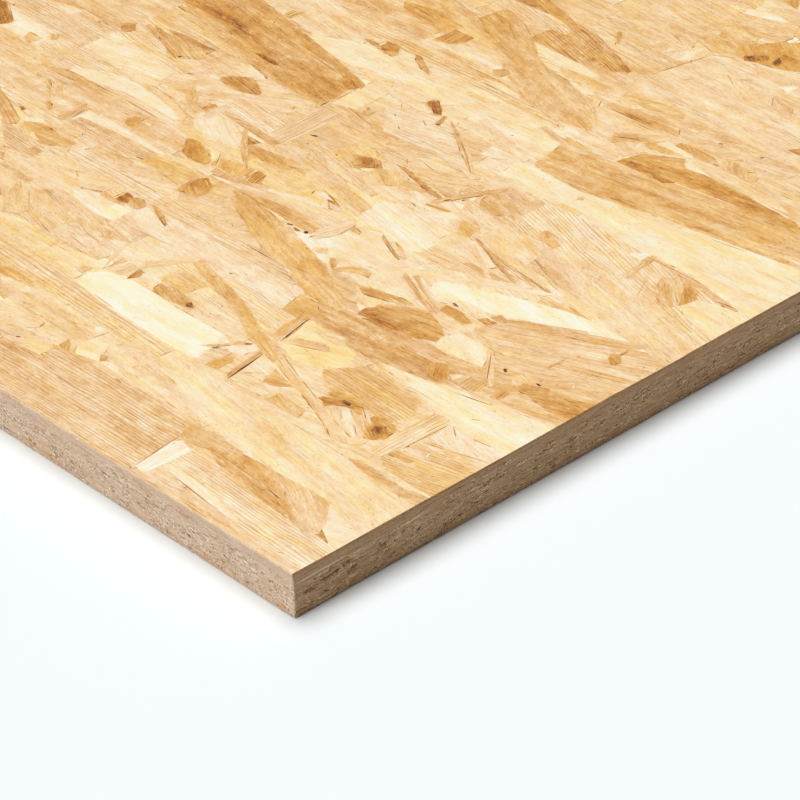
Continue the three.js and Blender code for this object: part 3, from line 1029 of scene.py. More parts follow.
# ---- The strands by the near corner -------------------------------------------------------
# Here the mat is laid strand by strand, each split, broken and pressed where it was seen to
# lie. Places are millimetres across from the long edge and along from the sheet's end.
# Each strand: its wood, its grain's lean in degrees from the sheet's length, and then its
# corners, each as two numbers, across and along.
BROAD_STRANDS = (
    ("tan", 0, 0, 0, 9, 0, 11, 79, 0, 87),
    ("pale", -14, 17, 0, 38, 0, 40, 30, 30, 24, 20, 5),
    ("cream", 9, 30, 0, 56, 0, 60, 50, 62, 140, 48, 160, 36, 150, 34, 90, 35, 25),
    ("cream deep", -8, 56, 0, 125, 0, 112, 60, 104, 120, 60, 120),
    ("cream lined", 2, 2, 0, 19, 0, 22, 30, 25, 80, 9, 80, 7, 40),
    ("tan", 24, 35, 50, 36, 22, 27, 14, 21, 11, 18, 15, 20, 28, 26, 33, 30, 38),
    ("golden", 16, 29, 76, 34, 66, 35, 45, 30, 38, 25, 31, 26, 45, 28, 62),
    ("tan lined rich", 0, 80, 60, 82, 78, 89, 86, 97, 78, 105, 74, 99, 45, 90, 41, 82, 43),
    ("pale", 0, 94, 0, 96, 20, 99, 32, 103, 60, 106, 74, 109, 62, 112, 50, 116, 24, 120, 0),
    ("tan lined rich", -12, 62, 0, 82, 0, 83, 20, 74, 27, 66, 30, 62, 24),
    ("tan deeper", -3, 106, 118, 104, 84, 108, 64, 111, 50, 115, 44, 122, 46, 126, 60, 127, 76, 124, 95,
     121, 104, 121, 122),
    ("straw deeper", -18, 122, 0, 150, 0, 160, 45, 140, 70, 126, 60, 117, 40, 118, 20),
    ("tan", -25, 140, 45, 143, 68, 150, 67, 156, 58, 168, 30, 178, 8, 176, 0, 164, 0, 158, 14, 152, 29,
     143, 30),
    ("cream", 16, 127, 100, 128, 122, 160, 128, 168, 100, 182, 66, 160, 60, 141, 84),
    ("straw", -4, 133, 69, 143, 66, 151, 66, 152, 92, 143, 88, 139, 78),
    ("cream deep", 2, 216, 110, 236, 108, 236, 166, 228, 170, 219, 148),
    ("cream dry", 0, 228, 138, 256, 138, 256, 204, 238, 204),
    ("straw deep", 5, 166, 170, 172, 177, 186, 180, 190, 224, 172, 232, 165, 205),
    ("straw", 0, 162, 226, 176, 224, 176, 264, 162, 266),
    ("tan deep", 12, 170, 257, 190, 260, 192, 300, 184, 345, 176, 300, 172, 268),
    ("tan", 0, 196, 302, 198, 278, 213, 268, 226, 286, 228, 302),
    ("pale deep", 2, 168, 338, 188, 340, 188, 374, 171, 374),
    ("cream deeper", 4, 138, 334, 168, 338, 173, 394, 150, 378),
    ("straw", 16, 176, 0, 205, 0, 214, 60, 212, 125, 186, 125, 180, 66, 178, 30),
    ("cream deep lined", 16, 196, 0, 226, 0, 228, 124, 204, 124, 206, 60),
    ("straw dry", 18, 186, 55, 188, 85, 196, 86, 203, 64, 196, 58),
    ("tan deep", -10, 118, 120, 121, 100, 128, 112, 134, 118, 140, 124, 134, 140, 120, 140),
    ("tan lined", -3, 0, 86, 27, 89.5, 33, 93, 35, 98, 35, 122, 33, 142, 32, 162, 27, 170, 24, 184, 10, 190,
     0, 180),
    ("cream deep", -16, 24, 166, 31, 166, 33, 181, 40, 182, 42, 206, 34, 206, 22, 186),
    ("straw", 0, 40, 128, 53, 128, 54, 232, 44, 226, 39, 200),
    ("straw lined", 2, 52, 134, 60, 133, 62, 180, 65, 200, 66, 252, 56, 252, 53, 230),
    ("cream rich", 1, 65, 198, 77, 197, 80, 230, 77, 260, 64, 250),
    ("white", 1, 65, 198, 72, 198.5, 76, 195, 79.5, 190, 80, 160, 79, 128, 64, 123, 61, 125, 60.5, 140,
     62, 165, 64, 188),
    ("cream", 0, 79, 120, 88, 120, 105, 130, 108, 205, 86, 205, 80, 190),
    ("cream lined", 2, 88, 120, 104, 120, 105, 176, 90, 188),
    ("cream deeper", 6, 80, 203, 110, 203, 104, 225, 77, 226),
    ("pale deep dry", 7, 104, 128, 120, 128, 121, 224, 103, 222, 107, 180),
    ("straw lined", 0, 119, 136, 126.5, 136, 126, 170, 127, 230, 128, 290, 121, 290, 120, 220),
    ("cream deeper", -20, 127, 160, 128, 215, 138, 224, 152, 210, 146, 190, 135, 175),
    ("golden", 17, 150, 207, 152, 200, 150, 190, 147, 175, 144, 162, 140, 149, 137, 138, 130, 124, 124, 111,
     118, 111, 118, 128, 122, 140, 126, 150, 127, 161, 131, 172, 136, 185, 142, 197),
    ("pale deep", 4, 137, 118, 166, 112, 168, 140, 165, 150, 150, 158, 143, 156, 138, 140),
    ("golden", 3, 151, 207, 153, 200, 155, 186, 156.5, 172, 155.5, 160, 148.5, 160, 148, 168, 149.5, 180,
     150, 192),
    ("straw", -2, 150, 230, 158, 196, 168, 160, 164, 151, 155, 151.5, 156, 175, 152, 205),
    ("cream deep rich", 0, 159, 196, 166, 172, 172, 183, 178, 200, 172, 230, 165, 230),
    ("pale", 8, 168, 158, 178, 158, 184, 161, 188, 150, 186, 138, 184, 122, 183, 108, 170, 108, 166, 125,
     168, 142),
    ("straw deep lined", 13, 183, 164, 192, 162, 196, 190, 198, 222, 186, 222, 185, 185),
    ("cream deep", 10, 186, 125, 198, 124, 203, 142, 193, 190, 187, 165),
    ("cream deeper", -4, 195, 200, 208, 193, 230, 158, 246, 160, 236, 240, 196, 240),
    ("tan deep", -30, 215, 191, 222, 190, 230, 172, 236, 155, 230, 155, 221, 176),
    ("straw", -10, 203, 150, 206, 168, 214, 178, 222, 164, 214, 142, 206, 142),
    ("tan", 12, 187, 116, 198, 112, 226, 112, 226, 128, 217, 134, 205, 134, 190, 128),
    ("pale", 0, 220, 0, 262, 0, 257, 12, 254, 30, 250, 62, 247, 84, 243, 104, 242, 118, 243, 138, 240, 144,
     230, 142, 231, 100, 227, 80),
    ("tan deep rich", -6, 244, 137, 242.5, 122, 242, 110, 243.4, 100, 246, 88, 248.6, 75, 250.2, 60,
     251.8, 48, 254.2, 28, 257, 10, 261, 0, 290, 0, 282, 26, 276, 40, 275, 55, 273, 72, 271, 88, 269, 100,
     267, 118, 263, 141),
    ("straw", 1, 263, 141, 268, 118, 285, 120, 286, 95, 284, 60, 281, 30, 320, 50, 322, 160, 262, 160),
    ("golden deep rich", -6, 271, 116, 276, 114, 281, 108, 286, 97, 283, 93, 284, 85, 280, 82, 274, 92),
    ("golden deeper rich", -6, 268, 116, 272, 115.5, 276, 104, 280, 93, 284, 85, 284, 68, 282, 50, 281, 34,
     276, 28, 275, 52, 274, 70, 272, 88, 268, 91),
    ("pale deeper", 2, 314, 78, 328, 70, 350, 84, 366, 106, 364, 140, 356, 156, 330, 162, 314, 155),
    ("cream", 0, 245, 138, 262, 141, 276, 152, 274, 245, 250, 245, 240, 200),
    ("cream deep dry", -6, 222, 150, 232, 160, 246, 188, 240, 215, 222, 200),
    ("straw deep lined", 2, 271, 150, 276, 156, 280, 192, 282, 246, 286, 310, 276, 310, 273, 215),
    ("tan deep rich", 20, 275, 160, 278, 176, 283, 188, 290, 201, 298, 213, 306, 223, 313, 242, 331, 242,
     327, 228, 318, 213, 308, 199, 304, 190, 302, 172, 298, 158, 290, 148, 278, 140),
    ("cream deep", 0, 283, 190, 290, 202, 300, 216, 298, 246, 284, 246),
    ("straw deep", 4, 302, 158, 330, 158, 340, 205, 326, 214, 316, 200, 304, 180),
    ("cream deeper", 6, 330, 156, 360, 150, 395, 160, 400, 210, 340, 212, 334, 180),
    ("straw deep", -10, 360, 148, 392, 136, 420, 150, 424, 170, 396, 164, 364, 164),
    ("tan deeper lined rich", 18, 317, 216, 342, 214, 339, 196, 333, 182, 327, 167, 324, 163.5, 322, 168,
     318, 170, 316, 190),
    ("cream deeper", 13, 102, 222, 100, 240, 104, 254, 98, 290, 80, 262, 78, 222),
    ("pale", 0, 102, 222, 101, 230, 103, 246, 106, 253, 109, 250, 112, 243, 113.5, 236, 112, 222),
    ("straw", -18, 106, 270, 110, 274, 120, 256, 122, 240, 114, 242, 107, 258),
    ("straw lined dry", 0, 121, 222, 127.5, 222, 138, 250, 139, 284, 131, 282, 122, 276),
    ("cream deep", -16, 128, 222, 137, 222, 140, 250, 134, 262, 128, 250),
    ("straw", 4, 109, 250, 118, 266, 122, 290, 112, 302, 96, 284, 97, 262),
    ("straw deep lined dry", 2, 109, 299, 122, 319, 121.5, 300, 120, 290, 118, 284, 111, 283),
    ("straw lined", 0, 131, 282, 140, 284, 146, 340, 136, 340, 131, 312),
    ("tan", 0, 148, 246, 164, 246, 167, 300, 164, 346, 154, 338, 146, 344, 140, 302, 152, 299),
    ("pale deeper lined", 0, 166, 264, 176, 262, 184, 300, 185, 340, 180, 356, 173, 362, 168, 346,
     167, 300),
    ("pale deep", -11, 180, 296, 206, 290, 208, 344, 203, 353, 190, 356, 186, 344, 183, 330),
    ("cream deeper", -24, 186, 297, 198, 298, 218, 268, 220, 236, 196, 240, 190, 262),
    ("cream deep lined dry", 9, 183, 221, 204, 236, 200, 262, 184, 262),
    ("straw lined", 6, 196, 296, 208, 296, 222, 340, 222, 352, 202, 352),
    ("tan lined rich", 4, 221, 352, 238, 352, 235, 332, 231, 310, 226, 294, 222, 288, 220.5, 300, 220, 310,
     221, 320, 220.5, 336),
    ("amber", 9, 219, 236, 222, 235, 228, 234, 235, 236, 240, 233.5, 243, 234, 246, 244, 250, 259, 252, 270,
     255, 281, 257, 291, 259.5, 302, 262, 312, 266, 330, 268, 350, 236, 350, 234, 330, 230, 310, 226, 296,
     223, 283, 220.5, 270, 219, 260, 218.5, 250),
    ("pale", 4, 251, 262, 254, 277, 258, 284, 263, 275, 267, 262, 268, 250, 266, 240, 256, 240, 250, 250),
    ("cream deep", 8, 258, 284, 260, 302, 266, 320, 290, 320, 276, 262, 267, 262),
    ("cream deeper", 0, 284, 246, 300, 246, 302, 300, 284, 300),
    ("straw deep lined dry", 6, 183, 345, 203, 345, 206, 372, 200, 400, 184, 405),
    ("cream deeper", 0, 203, 345, 240, 345, 230, 372, 200, 400, 206, 370),
    ("pale", 0, 172, 360, 184, 362, 186, 405, 176, 400, 168, 380),
    ("straw", -4, 160, 345, 171, 345, 172, 386, 160, 386),
)
# Narrower strands, splinters and broken pieces on top of them.
NARROW_STRANDS = (
    ("white dry", 88, 4, 86, 22, 88.5, 25, 86, 23, 79, 3, 80, 3, 83),
    ("tan rich", 0, 26, 89, 33, 92, 35, 96, 35, 66, 33, 64, 28.5, 74, 26, 80),
    ("amber", 8, 27.5, 76.5, 29.5, 76, 28.5, 60, 26.5, 42, 25, 31, 22, 25, 20, 30, 21, 45, 23, 62),
    ("straw deeper", -13, 57.5, 37, 60, 33, 59, 20, 58.5, 10, 61, 0, 54.5, 0, 54.8, 14, 56, 28),
    ("straw", -8, 61, 104, 65, 106, 69, 98, 66, 87, 62, 88),
    ("pale deep", 10, 67, 105.5, 77.5, 107.5, 80, 100, 77, 97, 73, 96, 70, 100),
    ("tan rich", 16, 62, 85, 68, 85, 67, 70, 62, 68),
    ("pale deep rich", -16, 84, 95, 90, 110, 108, 114, 105, 95, 104, 85, 96, 80, 88, 86),
    ("tan", -18, 91, 109, 95, 109, 101, 97, 98, 92),
    ("straw", -10, 103, 107, 106.5, 107, 108, 96, 104, 90, 102, 98),
    ("amber rich", 17, 71, 40, 69.5, 43, 73, 46, 76, 51, 82, 50, 82.5, 40, 80, 37.5, 74, 37),
    ("cream dry", 30, 73, 66, 77, 63.5, 78.5, 60, 76.5, 57, 72.6, 51, 69.6, 43.4, 66.8, 45.5, 68.4, 52,
     70.6, 59.5),
    ("straw", 34, 70, 43, 80, 57, 78, 59, 73, 52),
    ("cream deep cross", 90, 66, 29, 66, 36, 97, 36.5, 98, 29.5, 96, 28.5, 73, 29),
    ("straw dry", 3, 74, 27.5, 82.5, 27, 84, 16, 80, 20, 75, 18),
    ("cream dry", 10, 83.5, 27, 96, 26.5, 95, 18, 97, 6, 90, 0, 87, 10),
    ("pale", 2, 9.5, 79, 13, 79, 12, 60, 9.8, 42, 6.5, 35, 5.8, 38, 7.5, 55),
    ("amber", -14, 122, 104.5, 127, 105.5, 132, 103, 137, 97, 140.5, 92, 141, 85, 138, 76, 134, 71, 129, 70,
     127, 76, 125, 86, 123.5, 95),
    ("cream rich", 10, 128, 103, 128, 112, 132, 114, 136, 106, 133, 103.5),
    ("straw", 20, 128, 30, 133, 34, 137, 32, 137.5, 27, 135, 24, 131, 27),
    ("golden deep", -12, 136, 120, 139, 110, 141.5, 99, 140.5, 93, 137, 100, 133, 113),
    ("amber rich", 0, 144, 72, 147, 70, 149.5, 78, 149, 86, 145, 85),
    ("white", 4, 149.5, 90, 152, 98, 157, 100, 160, 98, 166, 82, 172, 67, 177, 48, 179, 36, 177, 29,
     171, 38, 164, 52, 158, 65, 155.5, 73, 156, 82, 152, 87),
    ("tan deep", -24, 153, 65, 157, 63, 160, 57, 166, 44, 173, 30, 180, 15, 176, 14, 172, 20, 166, 33,
     160, 47, 156, 56),
    ("pale", -24, 152, 122, 158, 115, 162, 105, 168, 92, 175, 80, 182, 62, 178, 65, 170, 82, 163, 94,
     159, 101, 154, 110),
    ("straw lined", -6, 167, 120, 177, 120, 176, 102, 168, 104),
    ("cream", 20, 178, 122, 190, 122, 187, 108, 180, 92, 176, 94),
    ("pale deeper dry", 6, 176, 75, 178, 88, 181, 84, 179, 72),
    ("white deep dry", 0, 220, 57, 221.5, 64, 226.5, 60, 226, 57),
    ("straw deeper", 80, 208, 51, 208.5, 54.5, 217, 55.5, 226.5, 56.5, 226.5, 53.5, 217, 53),
    ("tan deep", 40, 205, 26, 204, 32, 208, 38, 217, 43, 220, 40, 224, 36, 216, 25),
    ("golden", 40, 204, 30, 206, 36, 212, 41, 217, 43, 216, 38, 209, 31),
    ("golden dry", 5, 218, 8, 219.4, 20, 222.6, 36, 224.4, 56, 226, 56, 225.6, 36, 222.4, 20, 219.6, 7),
    ("golden deep rich", 45, 207, 25, 213, 29, 223, 35, 222, 31, 215, 23),
    ("pale", 10, 200, 3, 202, 14, 204, 20, 208, 24, 215, 23, 218, 12, 219, 5, 214, 0, 202, 0),
    ("golden rich", 46, 112, 52, 113, 58, 118, 62, 121.5, 58, 120, 53, 115.5, 49),
    ("white", 0, 116, 47, 118, 51, 121, 46.5),
    ("golden cross", 84, 115, 44, 122, 46, 123, 37, 116, 36),
    ("golden deeper cross", 84, 118, 30.5, 124, 31, 124, 27, 118, 26.5),
    ("pale", 28, 127, 66, 128, 69, 133, 71, 139, 68, 140, 58, 138.5, 51.5, 134, 48.5, 129, 46, 127.5, 55),
    ("tan lined rich", 3, 139, 50, 143, 52, 144, 66, 140, 67),
    ("amber", -20, 127, 20, 130, 19, 134, 14, 137, 8, 141, 0, 125.5, 0, 126, 12),
    ("amber deep", -30, 127, 28, 132, 28, 136, 19, 133, 16, 128, 18),
    ("tan", -32, 135, 24, 142, 26, 146, 16, 140, 13, 136, 20),
    ("straw deep lined", -20, 144, 29, 152, 28, 157, 16, 162, 0, 150, 0, 148, 14),
    ("pale deep", -20, 151.5, 28, 154, 27, 158, 15, 163, 2, 160, 1, 156, 12),
    ("pale rich", -14, 26, 180, 28.6, 176, 30, 166, 26.5, 165),
    ("straw", 0, 31, 181, 39, 180, 40, 166, 33, 165, 30, 171),
    ("pale", -2, 33.5, 157, 39, 162, 46, 160, 46, 153, 41, 148, 36, 147, 35, 151),
    ("straw", 8, 38, 148, 46, 153, 50, 149, 51, 136, 47, 118, 42, 104, 36, 99, 37, 112, 39.5, 130),
    ("amber rich", 0, 48, 222, 50, 227, 54, 222, 54, 210, 52, 205, 50, 208, 49, 215),
    ("pale", 0, 46, 218, 48.5, 222, 50, 208, 49, 200, 46, 205),
    ("tan dry", 8, 79, 231, 85, 234, 90, 230, 89.5, 214, 84, 207, 80, 213),
    ("cream deep", 1, 88, 214, 94, 209.5, 95.5, 205, 88, 201.5, 81, 203, 84, 210),
    ("tan", -80, 78, 196.5, 87.5, 197, 87, 187, 79, 188),
    ("straw deep rich", 2, 87, 174, 90, 176.5, 97, 174, 98, 165, 97, 158, 93, 160, 87.5, 160),
    ("straw", -50, 87, 187, 91, 189, 107, 177.5, 104, 175.5, 96, 181),
    ("golden rich", -9, 105, 127, 112, 128.5, 117, 130, 117, 120, 113, 115, 109, 115, 105, 118),
    ("white rich", 0, 102, 231, 113, 231, 111, 222, 104, 223),
    ("straw dry", -24, 61.5, 123, 67, 125, 72, 124, 74, 118, 68, 115, 62, 117),
    ("straw deeper rich", -24, 62, 118.5, 67, 117.5, 74.5, 117, 70, 112.5, 63, 112.5),
    ("white deeper dry", -20, 74, 112.5, 81, 111.5, 83, 115, 80, 119, 76, 121, 73, 119),
    ("pale dry", 30, 145.5, 166, 148, 158.5, 150.5, 151, 148, 146, 144, 148, 141, 152, 143, 160),
    ("white", 30, 142.5, 145, 140, 146.8, 137.5, 140.5, 139, 141),
    ("straw", 50, 140, 150.5, 143, 151.5, 146, 147, 143, 144.5),
    ("cream", -12, 158, 197, 160.5, 197, 164, 186, 167, 172, 165, 168, 162, 180),
    ("golden rich", 60, 157, 229, 161, 230, 165, 222, 166, 213, 160, 212, 157, 215),
    ("amber cross", 75, 158, 211, 166.5, 211, 166, 206, 160, 203, 158, 206),
    ("pale", 0, 169, 181, 171, 183, 173, 180, 171, 172),
    ("tan rich", 14, 175, 183, 185, 182.5, 181, 170, 178, 158, 169, 158, 171, 170),
    ("golden deep", 10, 172, 229, 178, 230, 180, 215, 181.5, 207, 179, 198, 177, 196, 176, 205, 173, 215),
    ("tan", 12, 183, 165, 186, 164, 189, 180, 192, 200, 196, 217, 193, 218, 188, 200, 185, 182),
    ("straw", 4, 181, 219, 186, 222, 189, 216, 190, 207, 185, 205, 182, 209),
    ("tan cross dry", 90, 183, 231, 218, 232, 218.5, 222, 206, 219.5, 186, 221),
    ("tan rich", 10, 223, 234, 226, 234, 224, 222, 221, 206, 217.5, 195, 216, 197, 219, 213),
    ("tan deeper", 10, 227, 234, 229.5, 234, 226, 220, 221.5, 201, 220, 199),
    ("amber deep rich", 28, 134, 222.5, 146, 223.5, 149, 221, 146, 215, 141, 212, 137, 213, 136, 217),
    ("straw", -16, 128, 199, 133, 212, 136.5, 211, 137, 196),
    ("tan", 0, 131, 184, 134, 190, 137.5, 187, 136, 183),
    ("tan rich", 30, 194, 178, 199, 180, 203, 174, 203, 164, 197, 162, 192, 168),
    ("straw rich", 20, 193, 187, 206, 180, 210, 188, 208, 200, 195, 202),
    ("golden deeper dry", 22, 192.8, 188, 197, 192, 201, 194, 203, 189, 205, 185, 203, 180, 201, 177,
     199, 180, 195, 184),
    ("tan rich", -30, 195, 162, 200.5, 164, 204, 157, 203.5, 152, 199, 152.5, 197, 158),
    ("amber deep dry", 6, 207, 176, 208, 172, 206, 165, 204, 155, 202, 145, 200, 142, 200.5, 152, 203, 160,
     205, 168),
    ("tan deeper", -10, 205, 153, 210, 147, 207, 142, 203, 143),
    ("straw", -24, 208, 158, 211, 159, 217, 150, 222.5, 142, 219, 140, 212, 148),
    ("white", 0, 193, 137, 196, 133, 195, 128, 192, 130),
    ("golden", 10, 187, 120, 190, 123, 195, 126, 198, 121, 195, 116, 188, 115),
    ("tan deep", 12, 205, 127, 210, 132, 217, 133, 223, 129, 222, 120, 213, 115, 205, 118),
    ("straw dry", -75, 146, 158, 150, 155, 155, 152, 160, 151.5, 165, 152.5, 166, 156, 160, 158.5,
     152, 160.5),
    ("golden deep", 4, 257, 139.5, 262, 141, 262, 128, 260, 116, 256.8, 124),
    ("straw deep rich", 0, 262, 141, 269, 144, 267, 128, 263, 128),
    ("golden deep rich", -30, 276, 114, 280, 113, 288, 98, 286, 96, 281, 104),
    ("straw", 7, 272, 117, 276, 126, 282, 127, 281, 118, 286, 105, 280, 114),
    ("tan deeper", -30, 277, 128, 284, 133, 291, 121, 288.5, 118, 283, 124),
    ("straw deep", -34, 284, 135, 286.5, 134, 297, 114, 294.5, 113, 289, 122),
    ("golden deeper rich", 8, 284, 116, 288, 119, 291, 114, 289, 105, 286.5, 103, 285, 110),
    ("straw", -1, 284, 80, 288, 95, 291, 94, 291, 60, 284, 40, 283, 60),
    ("tan deep rich", -7, 297, 152, 302, 152, 302, 143, 306.5, 135, 305.5, 118, 299, 112, 297.5, 126,
     297, 136),
    ("tan", 0, 305, 122, 308, 120, 307.5, 108, 305.5, 110),
    ("straw deeper", -16, 308, 152, 314, 152, 315, 125, 309, 118, 306, 130),
    ("tan deep", 0, 307.5, 120, 313, 118, 313.5, 98, 311.5, 90, 309, 98, 308, 108),
    ("tan dry", -10, 299, 60, 311, 58, 316, 74, 308, 84, 301, 78),
    ("straw deep", 46, 293, 88, 299, 88, 299, 68, 292, 66),
    ("tan", -28, 299, 105, 306, 105, 305, 84, 299, 76),
    ("golden rich", 15, 311, 216, 330, 242, 316, 244, 306, 222),
    ("pale", 12, 317, 211, 316.4, 200, 315.8, 184, 314, 171, 310.4, 172, 308.4, 190, 311, 202),
    ("tan rich", 4, 303.6, 163, 309.6, 160, 310.4, 174, 309.4, 184, 306.6, 187, 304, 180),
    ("pale rich", 10, 303, 178, 303.5, 165, 301, 160, 298.5, 165, 301, 172),
    ("pale", -4, 280.4, 204, 282, 194, 279.6, 181, 277.6, 184, 278.6, 194),
    ("straw deep", 0, 342, 205, 364, 206, 364, 242, 347, 240),
    ("golden deep rich", 18, 339, 203, 342, 213, 347, 230, 350, 241, 344, 241, 339, 224, 336.5, 209),
    ("straw deep lined", 14, 330, 242, 338, 242, 337, 222, 334, 207, 330, 206),
    ("straw dry", 14, 242.5, 142, 246, 141, 252, 160, 257.5, 178, 254, 179, 248, 163),
    ("straw deep", 12, 266, 158, 269, 156, 267, 145, 264, 130, 262, 131),
    ("pale deep", 30, 290.5, 158, 296.5, 156.6, 295, 153, 290, 152.5),
    ("tan deep rich", 0, 284, 203, 288, 206, 293, 202, 290, 198, 285, 199),
    ("straw deeper", 0, 283.5, 236, 287, 234, 286.5, 212, 284.5, 210),
    ("golden deep rich", 4, 297, 244, 306, 242, 309, 262, 305, 278, 299, 272),
    ("cream deep", 78, 346, 165, 352, 163, 356, 158, 362, 157, 360, 152, 350, 153, 345, 157),
    ("straw", 80, 347, 174, 354, 173, 353, 164, 347, 166),
    ("amber", 48, 338.5, 185, 347, 192.5, 348.5, 191.5, 341, 185),
    ("tan deep", 8, 356, 160, 362, 178, 369, 178, 363, 162),
    ("straw deeper", 10, 364, 142, 384, 146, 385, 154, 381, 164, 374, 160, 366, 161),
    ("pale", -20, 395, 166, 400, 150, 402, 146.5, 404, 155, 400, 168),
    ("golden deep rich", 34, 365, 142, 371, 147, 382, 141, 392, 131, 386, 116, 373, 112, 368, 122,
     366, 132),
    ("straw deep", 20, 339, 114, 341, 112, 350, 122, 355, 134, 352, 136, 345, 125),
    ("golden dry", 20, 340, 90, 342, 102, 350, 108, 348, 96),
    ("amber", 34, 413, 152, 415, 162, 421, 158),
    ("white", 0, 356, 106, 357, 112, 362, 106),
    ("straw deep", 30, 80, 253, 77, 259, 85, 267, 96, 274, 98, 268, 95, 262, 90, 256, 84, 251),
    ("tan deep", 0, 96, 283, 99, 290, 102, 286, 101, 270, 97, 268),
    ("tan dry", -14, 113, 270, 116, 268, 122, 256, 120, 252),
    ("tan deep", 4, 130, 274, 136, 272, 137, 252, 133, 250, 130, 262),
    ("tan deep lined", 0, 138, 297, 145, 297, 146, 285, 147.5, 262, 147.5, 250, 146, 246, 141, 246,
     138.5, 262),
    ("pale", 0, 145.5, 297, 150.5, 297.5, 152, 285, 150.5, 260, 149.5, 248, 148, 247, 147.5, 272),
    ("pale deep rich", 4, 148.5, 249, 152, 241, 154.5, 232, 152.5, 222, 150, 222, 150, 238),
    ("straw deeper cross", 88, 138, 303.5, 151, 305, 154, 304, 150.5, 299.5, 143, 298.5, 138, 300),
    ("tan deep", 34, 152, 317, 156, 322, 158, 329, 154, 326, 150.5, 320),
    ("golden", 0, 161.5, 345, 165.5, 345, 167, 325, 166, 305, 165.5, 290, 164, 300, 162.5, 312),
    ("pale", -9, 167, 331, 170, 334, 174, 325, 179, 312, 179, 300, 176, 280, 173, 267, 170, 266, 171, 282,
     171, 300, 168, 316),
    ("pale", 24, 171, 249, 171.5, 257, 176, 262, 182, 265, 185, 250, 182, 238, 174, 231, 171.5, 234),
    ("amber deep rich", 38, 154, 238, 155, 244, 159, 248, 164, 252, 165.5, 246, 162.5, 238, 158, 230,
     155, 230.5),
    ("pale rich", 34, 158.5, 230, 166, 240, 165, 234, 162, 229),
    ("golden rich", -12, 139, 251, 147, 250, 149, 238, 148.5, 226, 144, 224.5, 139.5, 225, 138.5, 233,
     139.5, 242),
    ("golden", -4, 124, 308, 127, 310.5, 131, 304, 131.5, 297, 129.5, 290, 130.5, 280, 126, 281, 120.5, 290,
     122.5, 296, 124.5, 301),
    ("cream deeper", 20, 121, 300, 122, 308, 126, 311, 124, 302),
    ("pale", 30, 127, 311.5, 130, 312, 134, 306, 131.5, 303),
    ("straw deep", -5, 131, 298, 137, 297, 138, 284, 131, 284),
    ("golden lined", 20, 120.5, 314, 124, 311, 127, 313, 131, 322, 135, 332, 139, 345, 133, 340),
    ("tan deeper", 0, 112.5, 286, 114, 291, 118, 290, 117, 285),
    ("pale deep dry", 4, 214, 275, 218, 282, 220.5, 286, 221.5, 280, 219.5, 271, 217, 265, 214.5, 270),
    ("amber deep lined", 8, 203, 270, 204.5, 280, 206, 281.5, 210, 279.5, 215, 272, 213, 266, 209.5, 260,
     207.5, 258.5, 205, 263),
    ("golden lined", 16, 203, 310, 208, 320, 212, 331, 214, 333, 217, 328, 217.5, 318, 217, 304, 213, 299,
     210, 300, 206, 306),
    ("cream", 10, 181, 280, 182, 289, 186, 291, 187, 281, 183, 277),
    ("golden", 44, 183, 275, 190, 282, 194, 284, 190, 276, 184, 271),
    ("tan deep", -20, 183.5, 222, 187, 222, 190, 258, 186.5, 258),
    ("tan", 8, 192.5, 233, 195, 233, 200, 262, 197.5, 262),
    ("straw cross dry", 90, 180, 258, 193, 258.5, 193, 262.5, 180, 262),
    ("golden deep", 4, 220, 219, 222.5, 219, 223, 229, 221.5, 232, 220.5, 228),
    ("cream", 4, 223, 232, 250, 235, 248, 222, 226, 220),
    ("straw deep cross rich", 88, 260.5, 305.5, 268.5, 306, 269.5, 301.5, 261, 301),
    ("amber deep", 88, 289, 243, 302, 243, 302, 231.5, 295, 231.5, 292, 235),
    ("golden deep", 8, 290, 292, 297, 290, 296, 274, 291, 274),
    ("tan rich", 9, 162, 386, 168.5, 386, 170, 370, 168, 355, 165, 340, 163, 340, 164, 355, 162, 372),
    ("golden", 0, 170.5, 364, 172, 370, 177, 371.5, 177, 363),
    ("brown deeper rich", 32, 172, 387, 175, 385, 178.5, 385, 181, 390, 184, 396, 187.5, 402, 186, 408),
    ("golden deeper", -40, 204, 344, 209, 350, 213, 345.5, 208.5, 340),
    ("pale", 0, 200, 382, 204, 380, 204, 370, 200, 372),
)
